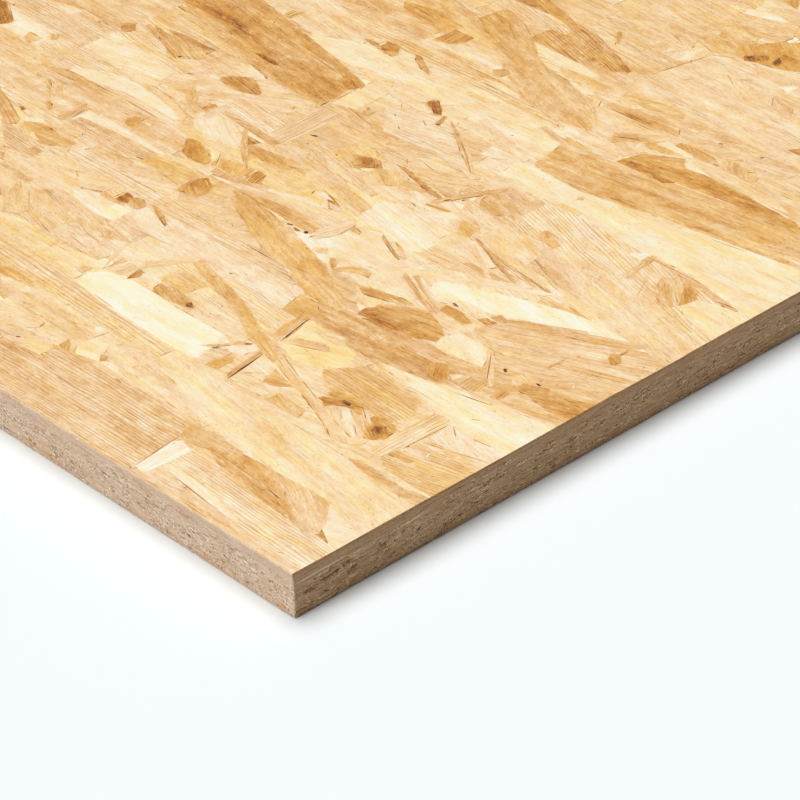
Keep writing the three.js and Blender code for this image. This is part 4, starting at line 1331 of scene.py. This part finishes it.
# Slivers, chips of bark-brown latewood and knots.
SLIVERS = (
    ("straw", 20, 62, 52, 62.5, 45, 66, 40, 69.4, 40, 66.8, 46, 67.8, 51, 70.2, 60, 73.2, 68, 76.4, 78,
     79, 86, 81.6, 94, 86, 105, 82, 106, 78.5, 97, 75.5, 88, 73, 79, 70, 71, 67.4, 64, 65, 57),
    ("tan deep rich", 21, 84, 121, 81, 107, 79.4, 101, 81, 102.5, 83.4, 99.5, 85, 102, 87, 109, 92, 124,
     98, 138, 102, 152, 106, 168, 107, 175, 103.5, 176, 100, 165, 96, 152, 91, 135),
    ("tan deep rich", 33, 71.6, 44, 74, 46, 80, 56, 79, 59, 76, 55, 73, 49.5),
    ("straw", 33, 75, 46.8, 77.6, 47.4, 82, 54.6, 80.6, 56.6),
    ("amber rich", -12, 78, 54, 81, 54.6, 84, 60, 85.6, 66, 84, 71, 80, 73, 78, 68, 79, 61),
    ("amber dry", 78, 61, 105.2, 63, 107.6, 81, 110.8, 81, 108.8, 64, 105.4),
    ("golden", 76, 88, 111.5, 92, 116, 98, 118, 108, 118.5, 109, 115.5, 100, 114),
    ("golden deep", -20, 69, 95, 72, 96, 77, 97.5, 75.5, 92, 74, 85, 70.5, 88, 69, 92),
    ("brown deep rich", -25, 75.5, 73, 77.5, 72, 79, 67, 80.8, 65, 81, 60.5, 79, 58, 78.5, 62, 76, 66,
     73.5, 67.5, 75, 70),
    ("amber deep rich", 20, 70.6, 40, 72.4, 45.6, 75, 46.6, 78.6, 45.4, 80, 42.4, 77.6, 39.6, 73.6, 38.8),
    ("chestnut rich", 20, 72, 41, 73.6, 45, 75.5, 44.4, 77, 45.6, 78.6, 43, 77, 41, 74, 40),
    ("chestnut deeper", 0, 79, 65, 80.8, 65, 81, 61.5, 79.3, 61),
    ("amber", -4, 69, 29.5, 72.5, 29, 72, 20, 70, 20.5),
    ("brown", 10, 105.5, 84.5, 106.4, 81, 105.8, 78.5, 105, 81),
    ("amber deep rich", 4, 122.5, 103, 125.5, 101, 126, 86, 128, 72, 126, 78, 124, 90),
    ("straw deeper", 42, 121.5, 35, 123.5, 34, 131, 42, 139.5, 51, 138, 53, 129.5, 44.5),
    ("brown deep rich", -40, 122.8, 104.8, 127, 105.4, 130.6, 102.4, 127, 99, 124.6, 98),
    ("amber", -8, 131, 16, 134, 12, 138, 0, 133, 0),
    ("golden dry", 27, 152, 112, 154, 113, 149, 102, 142.5, 85.5, 141.8, 87.5, 147, 101),
    ("golden dry", 27, 154.5, 109.5, 156, 108, 151, 100, 144.5, 83.5, 143.3, 84.5, 149, 98),
    ("golden", -24, 157, 63, 160, 58, 165, 47, 163, 47, 158, 56),
    ("tan deeper dry", 20, 188.5, 112, 190, 113, 186, 101, 177.5, 78, 176.5, 79.5, 182, 95),
    ("straw", 27, 182, 107, 186, 109, 178, 95, 172, 85.5, 173, 90),
    ("golden dry", 11, 186.5, 108, 188, 110, 184, 85, 181.8, 64, 180.8, 66, 183, 88),
    ("tan rich", 0, 204, 87, 207, 85.5, 208.6, 90, 211.4, 92.6, 212.4, 97.6, 208, 98.6, 205.6, 93),
    ("amber", 60, 207.5, 94.5, 211.5, 97, 212, 96, 208.5, 93),
    ("amber deep", 20, 162, 14.5, 164, 18, 167, 20, 169, 17, 167, 14.5, 165, 13),
    ("chestnut", 90, 168.5, 16, 169, 17.2, 172.5, 16.6),
    ("golden", -5, 175.5, 55, 176.5, 60.5, 177.8, 59, 177, 55),
    ("golden", 10, 177, 46, 179, 53, 179.5, 51, 178, 45),
    ("amber deep", 0, 150, 70.5, 153, 68.5, 152.8, 63.5, 149.8, 65.5),
    ("tan deep", 10, 154, 68, 158, 66.5, 157, 61, 154, 61.5),
    ("amber deep", 34, 32, 163, 33, 166, 38, 166.5, 36, 163, 33, 160),
    ("amber deep", 34, 36.5, 147, 39.5, 150, 40.5, 147, 38, 145),
    ("pale dry", 20, 47, 163, 50, 166.5, 52, 162, 48.5, 161),
    ("white", 10, 50.3, 181, 51, 185, 52, 185, 51.5, 181),
    ("tan deep", 0, 70, 203, 74, 203.5, 75, 199.5, 70, 199.8),
    ("tan deeper", 28, 92, 216, 95, 218.5, 97, 217, 95.5, 212.5, 93.5, 212),
    ("brown", 78, 79, 184.5, 82, 185.5, 87, 186.5, 86.5, 183.5, 83, 182.3),
    ("golden deep", 16, 80, 171, 86.5, 173, 87.5, 165, 86, 156, 83, 150.5, 81, 156, 79.8, 163),
    ("brown deep", 0, 81.8, 153.5, 83.5, 155, 85.3, 154, 83, 150.3),
    ("pale deep", 58, 77, 196.3, 80, 197.8, 86, 200, 93, 203, 96.5, 206.5, 91, 204, 84, 200.5),
    ("tan deep dry", 60, 68.5, 129, 71.5, 127, 75, 123.5, 80, 121, 82.5, 116.5, 81, 116.3, 77, 120.5,
     72, 124),
    ("brown", 28, 113.5, 204, 115, 209, 118, 216, 120.5, 221, 121, 218, 118, 210, 115, 205),
    ("golden dry", 0, 112, 228, 111, 241, 114, 243, 113.5, 236, 113.5, 228),
    ("amber dry", 20, 113, 229.5, 119, 231, 121, 226, 118, 221, 114, 222),
    ("brown rich", 0, 113.5, 234.5, 120, 235, 119.5, 231, 114.5, 228, 113.2, 231),
    ("straw", 0, 114.5, 236, 116, 240.5, 118.5, 241.5, 119.5, 235.8),
    ("amber", -40, 135.5, 133, 138.5, 134.5, 142, 131.5, 145, 127, 145, 122, 142, 120.3, 141.5, 125,
     139.5, 130),
    ("amber deep", 50, 136, 133, 139, 139, 142, 141.5, 142.8, 138, 139.5, 135.5),
    ("brown dry", 24, 167.3, 140, 165.4, 138.6, 161.4, 130, 158.2, 122, 159.2, 122, 163.2, 131),
    ("amber dry", 24, 167, 133, 164, 128, 160, 120.5, 161.6, 121.3, 165.6, 128),
    ("amber", 28, 160.5, 146, 161, 151, 163.5, 152, 162, 147),
    ("golden dry", 35, 163, 214.5, 166, 217, 176, 229, 186, 241, 182, 240, 172, 229),
    ("golden", -4, 176.5, 206, 178, 206, 179.8, 198, 178, 196),
    ("brown", 44, 195.5, 187, 198, 186, 203, 180.6, 201.6, 178.5, 197.5, 182.5),
    ("golden deep dry", 32, 221.5, 149, 231, 161, 239, 174, 246, 188, 244.5, 184.5, 238, 175.5, 230, 163.5),
    ("straw deep dry", 32, 222.5, 148.7, 223.4, 149.3, 232.4, 160.6, 240.6, 174, 247, 188, 239.6, 174.6,
     231.4, 161),
    ("golden dry", -66, 196, 145, 199, 145, 208, 140.5, 216, 136.5, 224.5, 131, 222, 130, 214, 134,
     204, 139.3, 197, 142.5),
    ("golden deep", -10, 193.5, 145, 194.5, 145, 197, 134, 195.5, 135),
    ("chestnut dry", 32, 249.5, 204.5, 251, 205, 254.5, 202.5, 250, 196, 246.5, 192.5, 245.5, 196,
     248, 200),
    ("brown", 70, 247, 191.5, 244, 190.5, 240, 189.3, 240, 187, 243.5, 188.3, 247.5, 190.3),
    ("amber deep", 12, 246, 98, 247.3, 97, 249.3, 87, 248, 86),
    ("amber deep", -10, 252, 63, 253, 63, 254.5, 54, 253.3, 53),
    ("brown deep rich", -4, 269, 112, 272, 111.5, 271.5, 88, 268.5, 92, 270, 100),
    ("amber rich", -3, 276, 108, 279, 104, 281, 80, 280.5, 55, 278.5, 60, 278.5, 84),
    ("white deep", 0, 289, 114.5, 292.3, 114.5, 293, 112, 292, 100, 291, 96, 289, 97, 289.3, 105),
    ("amber", 3, 293, 108.5, 296.3, 108, 297, 100, 296.2, 90, 293, 85, 291.6, 90, 292.5, 98),
    ("amber", 0, 297.2, 141, 299.5, 141, 301, 128, 298.5, 125, 297.4, 130),
    ("golden", 0, 236, 106, 238, 107, 240, 105.5, 238, 104),
    ("brown", 24, 323.5, 164, 325, 168.5, 326.5, 172, 328, 169, 325.5, 164.5),
    ("amber", 20, 326, 172, 328, 176, 333, 182, 331, 176, 328, 169),
    ("chestnut", 34, 364.2, 137.4, 367, 140, 370, 137.4, 374.2, 133, 371.6, 130.4, 368, 132.6,
     364.8, 135.4),
    ("chestnut deeper", 80, 369.3, 125.3, 370.5, 127.5, 376, 128.8, 374.5, 126, 371, 124.3),
    ("amber deep rich", 0, 376, 129, 379, 129, 380, 121, 377, 120),
    ("amber", 34, 376, 142, 378.5, 147, 380, 145, 378, 141),
    ("amber rich", 10, 154, 277, 154.6, 280, 158, 282.3, 160.8, 281, 161.3, 278.3, 159, 275.5, 156, 274.3),
    ("golden", 0, 157, 274, 161, 275, 162.5, 271, 158, 269.5),
    ("brown", 80, 159, 276.8, 162.5, 278.2, 163.2, 276.4, 160, 275.8),
    ("brown deep", 34, 140, 311, 142, 311.3, 144.8, 316, 144, 317.3),
    ("golden", 36, 144, 316, 145, 316, 151.5, 324.5, 150.8, 324.8),
    ("amber", 34, 150.8, 324, 153, 325.8, 157, 332, 155.5, 331.5, 151.5, 327),
    ("chestnut", 10, 132, 318.5, 133.5, 322, 134.3, 320, 133.4, 318),
    ("brown deeper rich", 14, 228.7, 274, 229, 281, 230, 288, 231.8, 285, 231, 276, 229.6, 272.5),
    ("brown rich", 19, 240.5, 350, 245.5, 350, 243.5, 322, 241, 305, 239, 299, 240.3, 316),
    ("amber deep", 17, 235, 236.3, 240, 233.8, 243, 234.3, 245, 241, 242, 247, 238, 243),
    ("amber dry", 24, 209.4, 326, 212, 333, 215, 341, 216.4, 340.4, 213.6, 331, 211, 326),
    ("amber deep dry", 24, 213, 327, 214.6, 333, 217.4, 338, 216.6, 331, 214.4, 326),
    ("straw rich", 14, 171, 263, 175, 266, 180, 280, 183, 299, 181, 300, 177.6, 286, 174, 272),
    ("amber deep dry", -10, 270, 264.5, 271.3, 262, 270.3, 255, 269.3, 250, 267, 244, 268, 254, 269, 260),
    ("amber deep rich", -20, 268, 251, 275.5, 251, 276, 249, 270, 244, 267.5, 244.5),
    ("brown deeper rich", 0, 268.4, 252, 270, 254.8, 275.3, 255.4, 276, 251, 272, 249.4, 268.4, 249.8),
    ("straw", 0, 271.3, 256.5, 271, 261, 274, 262.5, 275.6, 256.5),
    ("brown deep dry", 28, 266.8, 221.5, 269, 230, 272, 235, 275.3, 239, 275.7, 236, 272, 229.5, 269, 224),
    ("amber", 34, 179, 360, 181.8, 364.3, 183.6, 361.5, 181, 358),
    ("brown", 70, 183.5, 266.3, 186, 267, 190, 265.8, 189.3, 264, 185.5, 265),
    ("straw deeper", 50, 211, 233, 215, 236, 219.5, 238.5, 217, 235),
    ("brown", 6, 229, 218, 230.8, 218.6, 230.6, 217.2, 229.4, 217),
    ("golden deep", 40, 225, 217.8, 229, 217.5, 231, 214, 226, 213),
)
# Cracks and gaps that the resin hasn't closed: both ends and the widest gap.
CRACKS = (
    (0, 85.2, 27, 89.2, 0.7), (9.6, 77, 5.8, 40, 0.5), (28.9, 75, 27, 46, 0.7), (26.4, 44, 25.2, 32, 0.6),
    (73, 28.4, 97, 27.6, 0.8), (81.8, 27, 84.5, 17, 0.7), (84.5, 17, 88.8, 2.5, 0.7),
    (91.8, 20, 96.5, 26.4, 0.6), (61.8, 51.4, 65, 57, 0.55), (65, 57, 68.6, 67, 0.4),
    (68.6, 67, 73, 79, 0.45), (75.5, 88, 79, 98.5, 0.5), (66.6, 45.6, 67.8, 51, 0.5),
    (67.8, 51, 70.2, 60, 0.45), (74.4, 71.6, 79, 86, 0.6), (79, 86, 85.4, 103.6, 0.6),
    (68.8, 45.4, 72.4, 50.4, 0.6), (71.4, 56.4, 76, 61.6, 0.45), (78, 50.6, 80.6, 54.6, 0.5),
    (102.5, 56, 102.6, 42, 0.5), (4.6, 14, 6.2, 10, 0.5), (61, 105, 81, 108.6, 0.87),
    (90, 110.6, 109, 114.7, 0.87), (67.5, 105, 73, 97.4, 0.4), (80.2, 118.4, 82.4, 115.8, 1.0),
    (70, 125, 73, 122.6, 1.0), (66, 60, 62, 52.4, 0.4), (110.4, 45, 114.6, 25, 0.6),
    (103.4, 25, 105.2, 22, 0.7), (89.6, 9.6, 89.2, 6, 0.5), (132.6, 37.6, 134.4, 39.6, 1.3),
    (134.6, 22.6, 135.4, 25, 1.1), (151.2, 81.6, 151.9, 85.4, 1.1), (148.6, 89, 150, 86, 0.7),
    (171, 69.4, 172.6, 66.6, 0.7), (122.5, 37, 138.8, 51.4, 0.6), (143.5, 28.6, 155.5, 29, 0.6),
    (143, 30, 152, 27.6, 0.5), (150.6, 27, 160.4, 0, 0.5), (148.4, 26, 157, 2, 0.4),
    (224.6, 62, 224.2, 24, 0.5), (218.4, 20, 220.4, 8, 0.6), (206.6, 119, 209, 118, 0.7),
    (201, 40, 214, 47, 0.5), (33.6, 134, 33, 130, 0.8), (25.6, 182, 26.6, 180, 0.9),
    (33, 158, 38.2, 161.6, 0.5), (44, 161, 51.6, 159.4, 0.5), (31.4, 184.6, 35, 180.6, 0.6),
    (35, 180.6, 38.4, 181, 0.5), (65, 198.6, 71, 198.4, 0.8), (77, 196.6, 79, 196.8, 0.8),
    (79, 196, 87, 196.6, 0.4), (84.4, 226, 82, 211.6, 0.7), (89.4, 222, 88.6, 212, 0.5),
    (53.6, 134, 58.8, 133.4, 0.8), (52.4, 186.4, 52.8, 185, 0.7), (58.4, 198, 58.8, 196.6, 0.6),
    (40.2, 198, 40.4, 166, 0.3), (108, 160, 109.4, 159, 0.8), (126.2, 176, 125.8, 142, 0.5),
    (127.6, 150, 129.2, 132, 0.4), (147.4, 172.4, 148, 169.6, 1.1), (146.9, 168.2, 146.7, 164, 1.5),
    (146.8, 162.2, 149, 161.6, 1.9), (146, 158.4, 149, 157.8, 0.8), (152.8, 161.4, 153.6, 160.4, 0.6),
    (146, 156.4, 154, 152, 0.4), (154, 151.9, 165, 152.4, 0.4), (168.4, 182.4, 172, 184, 0.8),
    (176.8, 205, 179.2, 197.6, 0.5), (199.6, 219, 200.6, 215, 1.3), (196.4, 199.4, 195.4, 198, 0.9),
    (217.8, 194.4, 220.4, 195.8, 0.8), (227, 214, 230.6, 213.4, 0.7), (134.4, 223.2, 147, 224.2, 0.6),
    (158, 209.6, 166, 210.8, 0.5), (159, 206.4, 166, 208, 0.5), (215.6, 170, 213.8, 161, 0.6),
    (211, 175.4, 213, 172.6, 0.5), (222, 149.2, 230, 160.4, 0.6), (208.6, 141.8, 211.8, 143.6, 0.8),
    (200, 142, 203, 140.6, 0.9), (205.4, 137.4, 207, 136.4, 0.9), (206.4, 119.6, 208.6, 118, 0.7),
    (191, 150, 190, 146, 0.8), (147, 126.4, 148.4, 124.2, 0.7), (142.6, 139, 144.4, 135.6, 0.5),
    (165.2, 139, 158.2, 122.4, 0.4), (239, 173, 246.4, 187.4, 0.5), (248, 206.4, 250.2, 204.6, 0.7),
    (281.6, 131, 287.4, 121, 0.85), (290, 115.2, 293.6, 112.6, 0.7), (250, 50, 252.6, 32, 0.5),
    (306, 97.4, 306.8, 95.4, 1.0), (308.6, 77.8, 309.8, 76.6, 0.9), (296.6, 74, 299, 70.6, 0.7),
    (301.6, 69.6, 302.6, 68.8, 0.6), (314, 209, 317, 213.6, 0.6), (339, 196, 328, 170, 0.5),
    (295, 152.4, 299.4, 155.2, 0.6), (348, 151.6, 350.4, 153.8, 0.7), (350, 128, 354, 123.6, 0.6),
    (343, 186, 340, 168, 0.4), (218, 233.8, 224, 234.2, 0.9), (228, 233.2, 235, 233.5, 0.7),
    (239, 232.8, 242.6, 233.4, 0.8), (206, 309, 207, 307.4, 1.2), (253.6, 303, 254.6, 303.8, 0.9),
    (208.2, 239.4, 211.2, 240.6, 0.8), (192.4, 274, 195, 272, 0.8), (189.6, 271, 193, 267, 0.6),
    (261, 304.6, 268, 304.8, 0.5), (261, 302.4, 269, 302.2, 0.5), (199, 295, 200.4, 291.4, 0.9),
    (142.6, 298.8, 150.4, 300.6, 0.8), (151.8, 301.6, 154, 303.8, 0.5), (129.8, 296, 131.6, 297.8, 0.9),
    (136, 283.6, 137, 285, 0.8), (108.6, 300.6, 110.2, 294.6, 0.7), (109, 291, 109.6, 284, 0.5),
    (83, 249.4, 96, 266, 0.4), (127.6, 255, 127.8, 224, 0.5), (160, 282, 159.6, 288, 0.5),
    (162, 336, 163.2, 320, 0.5), (157, 226.4, 165.6, 233, 0.6), (187.4, 397.8, 188.4, 397, 1.0),
    (177, 371, 177, 366, 0.7), (202.6, 358.6, 203.4, 357, 0.9), (178.4, 385, 187.6, 401, 0.5),
    (240, 188.6, 241, 187, 1.0), (236, 153, 240, 147, 0.4), (254, 161, 255.4, 159.8, 0.7),
    (230, 219, 231, 218, 0.9), (254, 104, 255, 101, 0.7), (297, 150, 297.4, 128, 0.4),
    (8.2, 112.8, 8.8, 112, 0.7), (45.6, 174.6, 46.6, 172.8, 0.7), (12.8, 61.4, 13.6, 60.4, 0.7),
    (7, 63.6, 8, 63, 0.8), (76.4, 28, 77.2, 27.4, 1.0), (100, 56, 102, 49, 0.4),
    (176.4, 79, 182.4, 95, 0.5), (183, 96, 188.2, 110, 0.5), (180.9, 65, 183.8, 86, 0.6),
    (184.2, 87, 187.4, 106, 0.5), (142.2, 83, 147, 96, 0.5), (147.4, 97, 152.6, 110, 0.5),
    (225, 183, 228, 181, 0.6), (227, 196, 229, 199, 0.6), (233, 205, 235, 207.4, 0.6),
    (236, 190, 239, 195.4, 0.7), (240, 209, 243, 212, 0.5), (252.6, 198.6, 256, 195, 0.5),
    (245, 182, 247.4, 183.2, 0.6), (250, 183, 253.4, 184, 0.5), (230, 178, 232, 175.6, 0.5),
    (243, 177.6, 247, 176, 0.5),
)

# Stains and streaks in the wood: place across and along, half length, half width, the lean of
# their length in degrees, and how much darker (or paler) they make it.
STAINS = (
    (48, 64, 12, 5, 0, 0.11), (19, 136, 9, 3, 8, 0.09), (20, 175, 6, 4, 0, 0.13), (7, 63, 2, 1.5, 0, 0.15),
    (24, 97, 4, 2.4, 0, 0.09), (31, 92, 4, 3, 0, 0.05), (75, 43, 4.5, 3, 20, 0.14),
    (79.5, 62, 4, 2.4, -20, 0.14), (90, 58, 14, 5, 0, 0.05), (84, 50, 8, 2.4, 0, 0.06),
    (112, 96, 9, 2.4, 0, 0.09), (117, 80, 22, 4, 0, 0.05), (125, 95, 11, 2.4, -4, 0.09),
    (132, 84, 11, 4, 0, 0.05), (115, 54, 5, 3, 40, 0.12), (132, 9, 12, 3, -10, 0.08),
    (190, 72, 13, 4, 15, 0.07), (200, 60, 5, 3, 10, 0.06), (208, 93, 4, 3.4, 0, 0.10),
    (164, 16, 3, 3, 0, 0.07), (217, 31, 7, 2.4, 45, 0.09), (83, 161, 9, 2.6, 0, 0.07),
    (83.5, 153, 3, 2, 0, 0.16), (93, 167, 7, 4, 0, 0.05), (114, 122, 7, 3, 0, 0.07),
    (142, 221.4, 6, 2.4, 90, 0.12), (129, 147, 7, 2.4, -5, 0.09), (147, 188, 12, 3, 8, 0.05),
    (152, 188, 14, 2.4, 4, 0.07), (199, 184, 8, 3, 44, 0.12), (116.5, 233, 2.4, 3, 0, 0.14),
    (125, 290, 9, 4, 0, 0.07), (157, 241, 7, 4, 38, 0.06), (157.5, 279, 3, 3, 0, 0.08),
    (230, 279, 9, 2, 0, 0.12), (243, 325, 24, 3, 4, 0.12), (240, 304, 9, 2, 4, 0.09),
    (223.5, 250, 14, 3, 0, -0.06), (227, 277, 10, 2.6, 8, -0.05), (236, 262, 28, 3, 5, 0.05),
    (247, 266, 22, 2.4, 8, 0.05), (259, 300, 15, 2.4, 10, 0.07), (239, 240, 6, 5, 0, 0.08),
    (228, 244, 12, 2.4, 2, 0.05), (262, 100, 28, 4, -6, 0.05), (255, 102, 5, 2.4, 0, 0.09),
    (247.5, 92, 8, 2, 12, 0.12), (253, 58, 8, 2, -8, 0.10), (251, 125, 10, 6, 0, 0.05),
    (270, 105, 9, 2.4, 0, 0.10), (279, 72, 20, 2.6, -3, 0.08), (300, 130, 9, 3, 0, 0.08),
    (294.5, 99, 8, 2, 0, 0.08), (311, 98, 8, 2.4, 0, 0.08), (325.5, 168, 6, 2.4, 24, 0.12),
    (331, 192, 14, 4, 20, 0.07), (368, 136, 4, 3, 40, 0.10), (372, 126, 3, 2.4, 70, 0.14),
    (382, 129, 8, 5, 34, 0.06), (319, 228, 14, 4, 30, 0.07), (224.5, 78, 3, 2, 0, 0.12),
    (318, 236, 6, 4, 20, 0.08), (281, 172, 9, 3, 24, 0.07), (135, 110, 8, 3, -20, 0.06),
    (66, 117, 3, 3, 0, 0.08), (71, 75, 9, 3, -10, 0.05), (95, 13, 5, 3, 20, 0.07),
    (57, 26, 8, 2.4, 0, 0.07), (10, 110, 20, 6, 6, -0.04), (28, 125, 20, 3, 6, 0.04),
    (5, 140, 16, 4, 6, -0.03), (46, 105, 16, 5, 4, -0.04), (100, 22, 14, 4, 0, -0.05),
    (101, 8, 8, 6, 0, -0.04), (120, 105, 6, 8, 0, -0.05), (145, 60, 10, 5, 0, -0.04),
)

# What the words for the wood stand for: how dark it is, and how golden.
TONES = {"white": 0.03, "pale": 0.12, "cream": 0.18, "straw": 0.25, "tan": 0.32, "golden": 0.39,
         "amber": 0.47, "brown": 0.58, "chestnut": 0.72}
DEEPENED = {"deep": 0.06, "deeper": 0.12}
GOLDEN = {"white": 0.22, "pale": 0.25, "cream": 0.24, "straw": 0.33, "tan": 0.12, "golden": 0.52,
          "amber": 0.62, "brown": 0.68, "chestnut": 0.6}
WARMED = {"rich": 0.35, "dry": -0.35}
# Sides longer than this, in mm, fray in this share of cases, and this share of the frays have
# split off and carry a painted shadow line; the others stand proud with a painted highlight.
# Cracks wider than this, in mm, stand open and deep.
LONG_SIDE = 5
FRAYED_SHARE = 0.34
SHADOW_LINE_SHARE = 0.65
OPEN_CRACK = 0.85


def from_corner(across, along):
    """A place on the upper face, in mm, from its place across and along at the corner."""
    return half_x - along, across - half_y


def torn(rng, corners, wander):
    """An outline whose straight sides are broken up as split wood is."""
    points = []
    for a, b in zip(corners, corners[1:] + corners[:1]):
        run = math.dist(a, b)
        parts = max(1, round(run / 11))
        for k in range(parts):
            t = k / parts
            off = rng.gauss(0, wander) if k else 0
            points.append((a[0] + t * (b[0] - a[0]) - off * (b[1] - a[1]) / run,
                           a[1] + t * (b[1] - a[1]) + off * (b[0] - a[0]) / run))
    return points


def lit_or_shaded_fray(rng, a, b, level, tone):
    """A stretch of a strand's side, proud with a painted highlight or split off with a painted shadow line.
    """
    start, stop = sorted((rng.random(), rng.random()))
    middle = [p + (start + stop) / 2 * (q - p) + rng.gauss(0, 0.2) for p, q in zip(a, b)]
    run = min(30, max(3, (stop - start) * math.dist(a, b)))
    shadow_line = rng.random() < SHADOW_LINE_SHARE
    # A split-off fray is painted darker, as its shadow line, and set lower; a proud one is painted paler,
    # as its highlight, and set a little higher.
    tone = tone + rng.uniform(0.16, 0.36) if shadow_line else max(0.03, tone - rng.uniform(0.05, 0.12))
    lean = math.atan2(b[1] - a[1], b[0] - a[0])
    return lens(rng, middle, run, rng.uniform(0.3, 0.6), lean, tone, level - (0.04 if shadow_line else -0.01))


def placed(rng, group, lowest, highest, wander, soft):
    """A group of strands laid where they are listed, the first at the lowest level.

    `wander` is how far their split sides stray, `soft` how far their borders are smeared.
    """
    strands = []
    for k, (wood, lean, *across_along) in enumerate(group):
        corners = list(zip(across_along[::2], across_along[1::2]))
        outline = [from_corner(*p) for p in torn(rng, corners, wander)]
        middle = [sum(values) / len(outline) for values in zip(*outline)]
        lean = math.radians(lean + rng.gauss(0, 1.5))
        kind, *more = wood.split()
        rings = (rng.uniform(0.5, 0.8), rng.uniform(1.3, 1.8), 0.8)
        if "lined" not in more and "cross" not in more:
            rings = (rng.uniform(0.05, 0.25), rng.uniform(2.0, 4.0), rng.uniform(2, 7))
        tone = TONES[kind] + sum(DEEPENED.get(word, 0) for word in more) + rng.gauss(0, 0.012)
        gold = GOLDEN[kind] + sum(WARMED.get(word, 0) for word in more) + rng.gauss(0, 0.09)
        look = (tone, gold, rng.random(), *rings)
        level = lowest + (highest - lowest) * k / len(group) + rng.gauss(0, 0.012)
        tilt = (rng.gauss(0, 0.0004), rng.gauss(0, 0.0015))
        strands.append(Strand(outline, middle, (-math.cos(lean), math.sin(lean)), level, tilt, look,
                              soft * rng.uniform(0.7, 1.15)))
        for a, b in zip(corners, corners[1:] + corners[:1]):
            if math.dist(a, b) > LONG_SIDE and rng.random() < FRAYED_SHARE:
                strands.append(lit_or_shaded_fray(rng, from_corner(*a), from_corner(*b), level, tone))
    return strands


def cracked(rng, cracks):
    """Cracks as slits let into the strands, painted dark as the shade inside them."""
    strands = []
    for x0, y0, x1, y1, gap in cracks:
        is_open = gap > OPEN_CRACK
        width = gap if is_open else 0.75 * gap
        a, b = from_corner(x0, y0), from_corner(x1, y1)
        run = math.dist(a, b)
        c, s = (b[0] - a[0]) / run, (b[1] - a[1]) / run
        shape = [(0, 0), (0.2, -0.4), (0.55, -0.5), (0.85, -0.3),
                 (1, 0), (0.8, 0.35), (0.4, 0.5), (0.15, 0.3)]
        outline = []
        for u, v in shape:
            u, v = run * u, width * (v + rng.gauss(0, 0.12))
            outline.append((a[0] + c * u - s * v, a[1] + s * u + c * v))
        # The slits are painted dark as the shade inside them, darkest where a crack stands open and deep.
        tone = rng.uniform(0.8, 0.95) if is_open else rng.uniform(0.55, 0.72)
        depth = -0.3 if is_open else -0.18
        strands.append(Strand(outline, a, (c, s), depth, (0, 0), (tone, 0.3, rng.random(), 0, 2, 0)))
    return strands


# ---- The two pressed faces ------------------------------------------------------------------
# Both faces are the same mat of softwood strands, pressed hot between two flat plates: broad
# strands at the bottom, strewn ones over them, and by the near corner the ones listed above.
# Each face is cut in four plates that meet edge to edge.
BASE_ROW = 24
BASE_LAP = 0.72
MAT_SEED = 41


def base_mat(rng, box):
    """Broad strands in rows that lap over one another, so that no place is left bare."""
    strands = []
    y = box[1] - 10
    while y < box[3] + 20:
        x = box[0] - rng.uniform(20, 100)
        while x < box[2] + 20:
            run = rng.uniform(85, 125)
            wide = rng.uniform(34, 44)
            lean = rng.gauss(0, 0.05)
            start = (x, y + rng.gauss(0, 2))
            end = (x + run * math.cos(lean), start[1] + run * math.sin(lean))
            slants = (rng.gauss(0, 8), rng.gauss(0, 8))
            outline = split_outline(rng, start, end, (wide, wide), slants, 2, 60)
            direction = (math.cos(lean), math.sin(lean))
            level = rng.uniform(-0.42, -0.36)
            tilt = (0, rng.gauss(0, 0.002))
            strands.append(Strand(outline, start, direction, level, tilt, wood_look(rng)))
            x += run * BASE_LAP
        y += BASE_ROW
    rng.shuffle(strands)
    return strands


# The plate at the near corner is drawn finer, over the ground that the listed strands cover.
CORNER_PLATE = "upper_face_2"
CLOSE_UP = ((0, 0), (262, 0), (440, 160), (190, 425), (0, 175))
close_up = [from_corner(*p) for p in CLOSE_UP]
stains = []
for across, along, half_long, half_wide, lean, strength in STAINS:
    x, y = from_corner(across, along)
    stains.append((x, y, half_long, half_wide, -math.radians(lean), strength))

rng = random.Random(MAT_SEED)
whole = (-half_x, -half_y, half_x, half_y)
on_top = Matrix.Translation((0, 0, high.z))
turned_under = Matrix.Rotation(math.pi, 4, "X")
# Each listed group: its lowest and highest level, how far its split sides stray, and how far
# its borders are smeared. Each face: its name, where it lies and its strands in a square metre.
LISTED = ((BROAD_STRANDS, -0.15, -0.11, 0.3, 0.8), (NARROW_STRANDS, -0.11, -0.06, 0.25, 0.6),
          (SLIVERS, -0.06, -0.03, 0.1, 0.3))
for side_name, seat, per_metre in (("upper_face", on_top, 2700), ("lower_face", turned_under, 1400)):
    mat = base_mat(rng, whole) + strewn(rng, whole, per_metre)
    if side_name == "upper_face":
        for group in LISTED:
            mat += placed(rng, *group)
        mat += cracked(rng, CRACKS)
    for k, (x0, y0) in enumerate(((-half_x, -half_y), (0, -half_y), (-half_x, 0), (0, 0))):
        edge, seam = (ARRIS, 0), (0, 0)
        sides = (edge if x0 < 0 else seam, edge if y0 < 0 else seam,
                 seam if x0 < 0 else edge, seam if y0 < 0 else edge)
        name = f"{side_name}_{k + 1}"
        box = (x0, y0, x0 + half_x, y0 + half_y)
        close = (close_up, stains) if name == CORNER_PLATE else ((), ())
        skin(name, mat, box, sides, SKIN_DEPTH, seat, [pressed_strands, long_edge_wood, end_edge_wood],
             rng, *close)
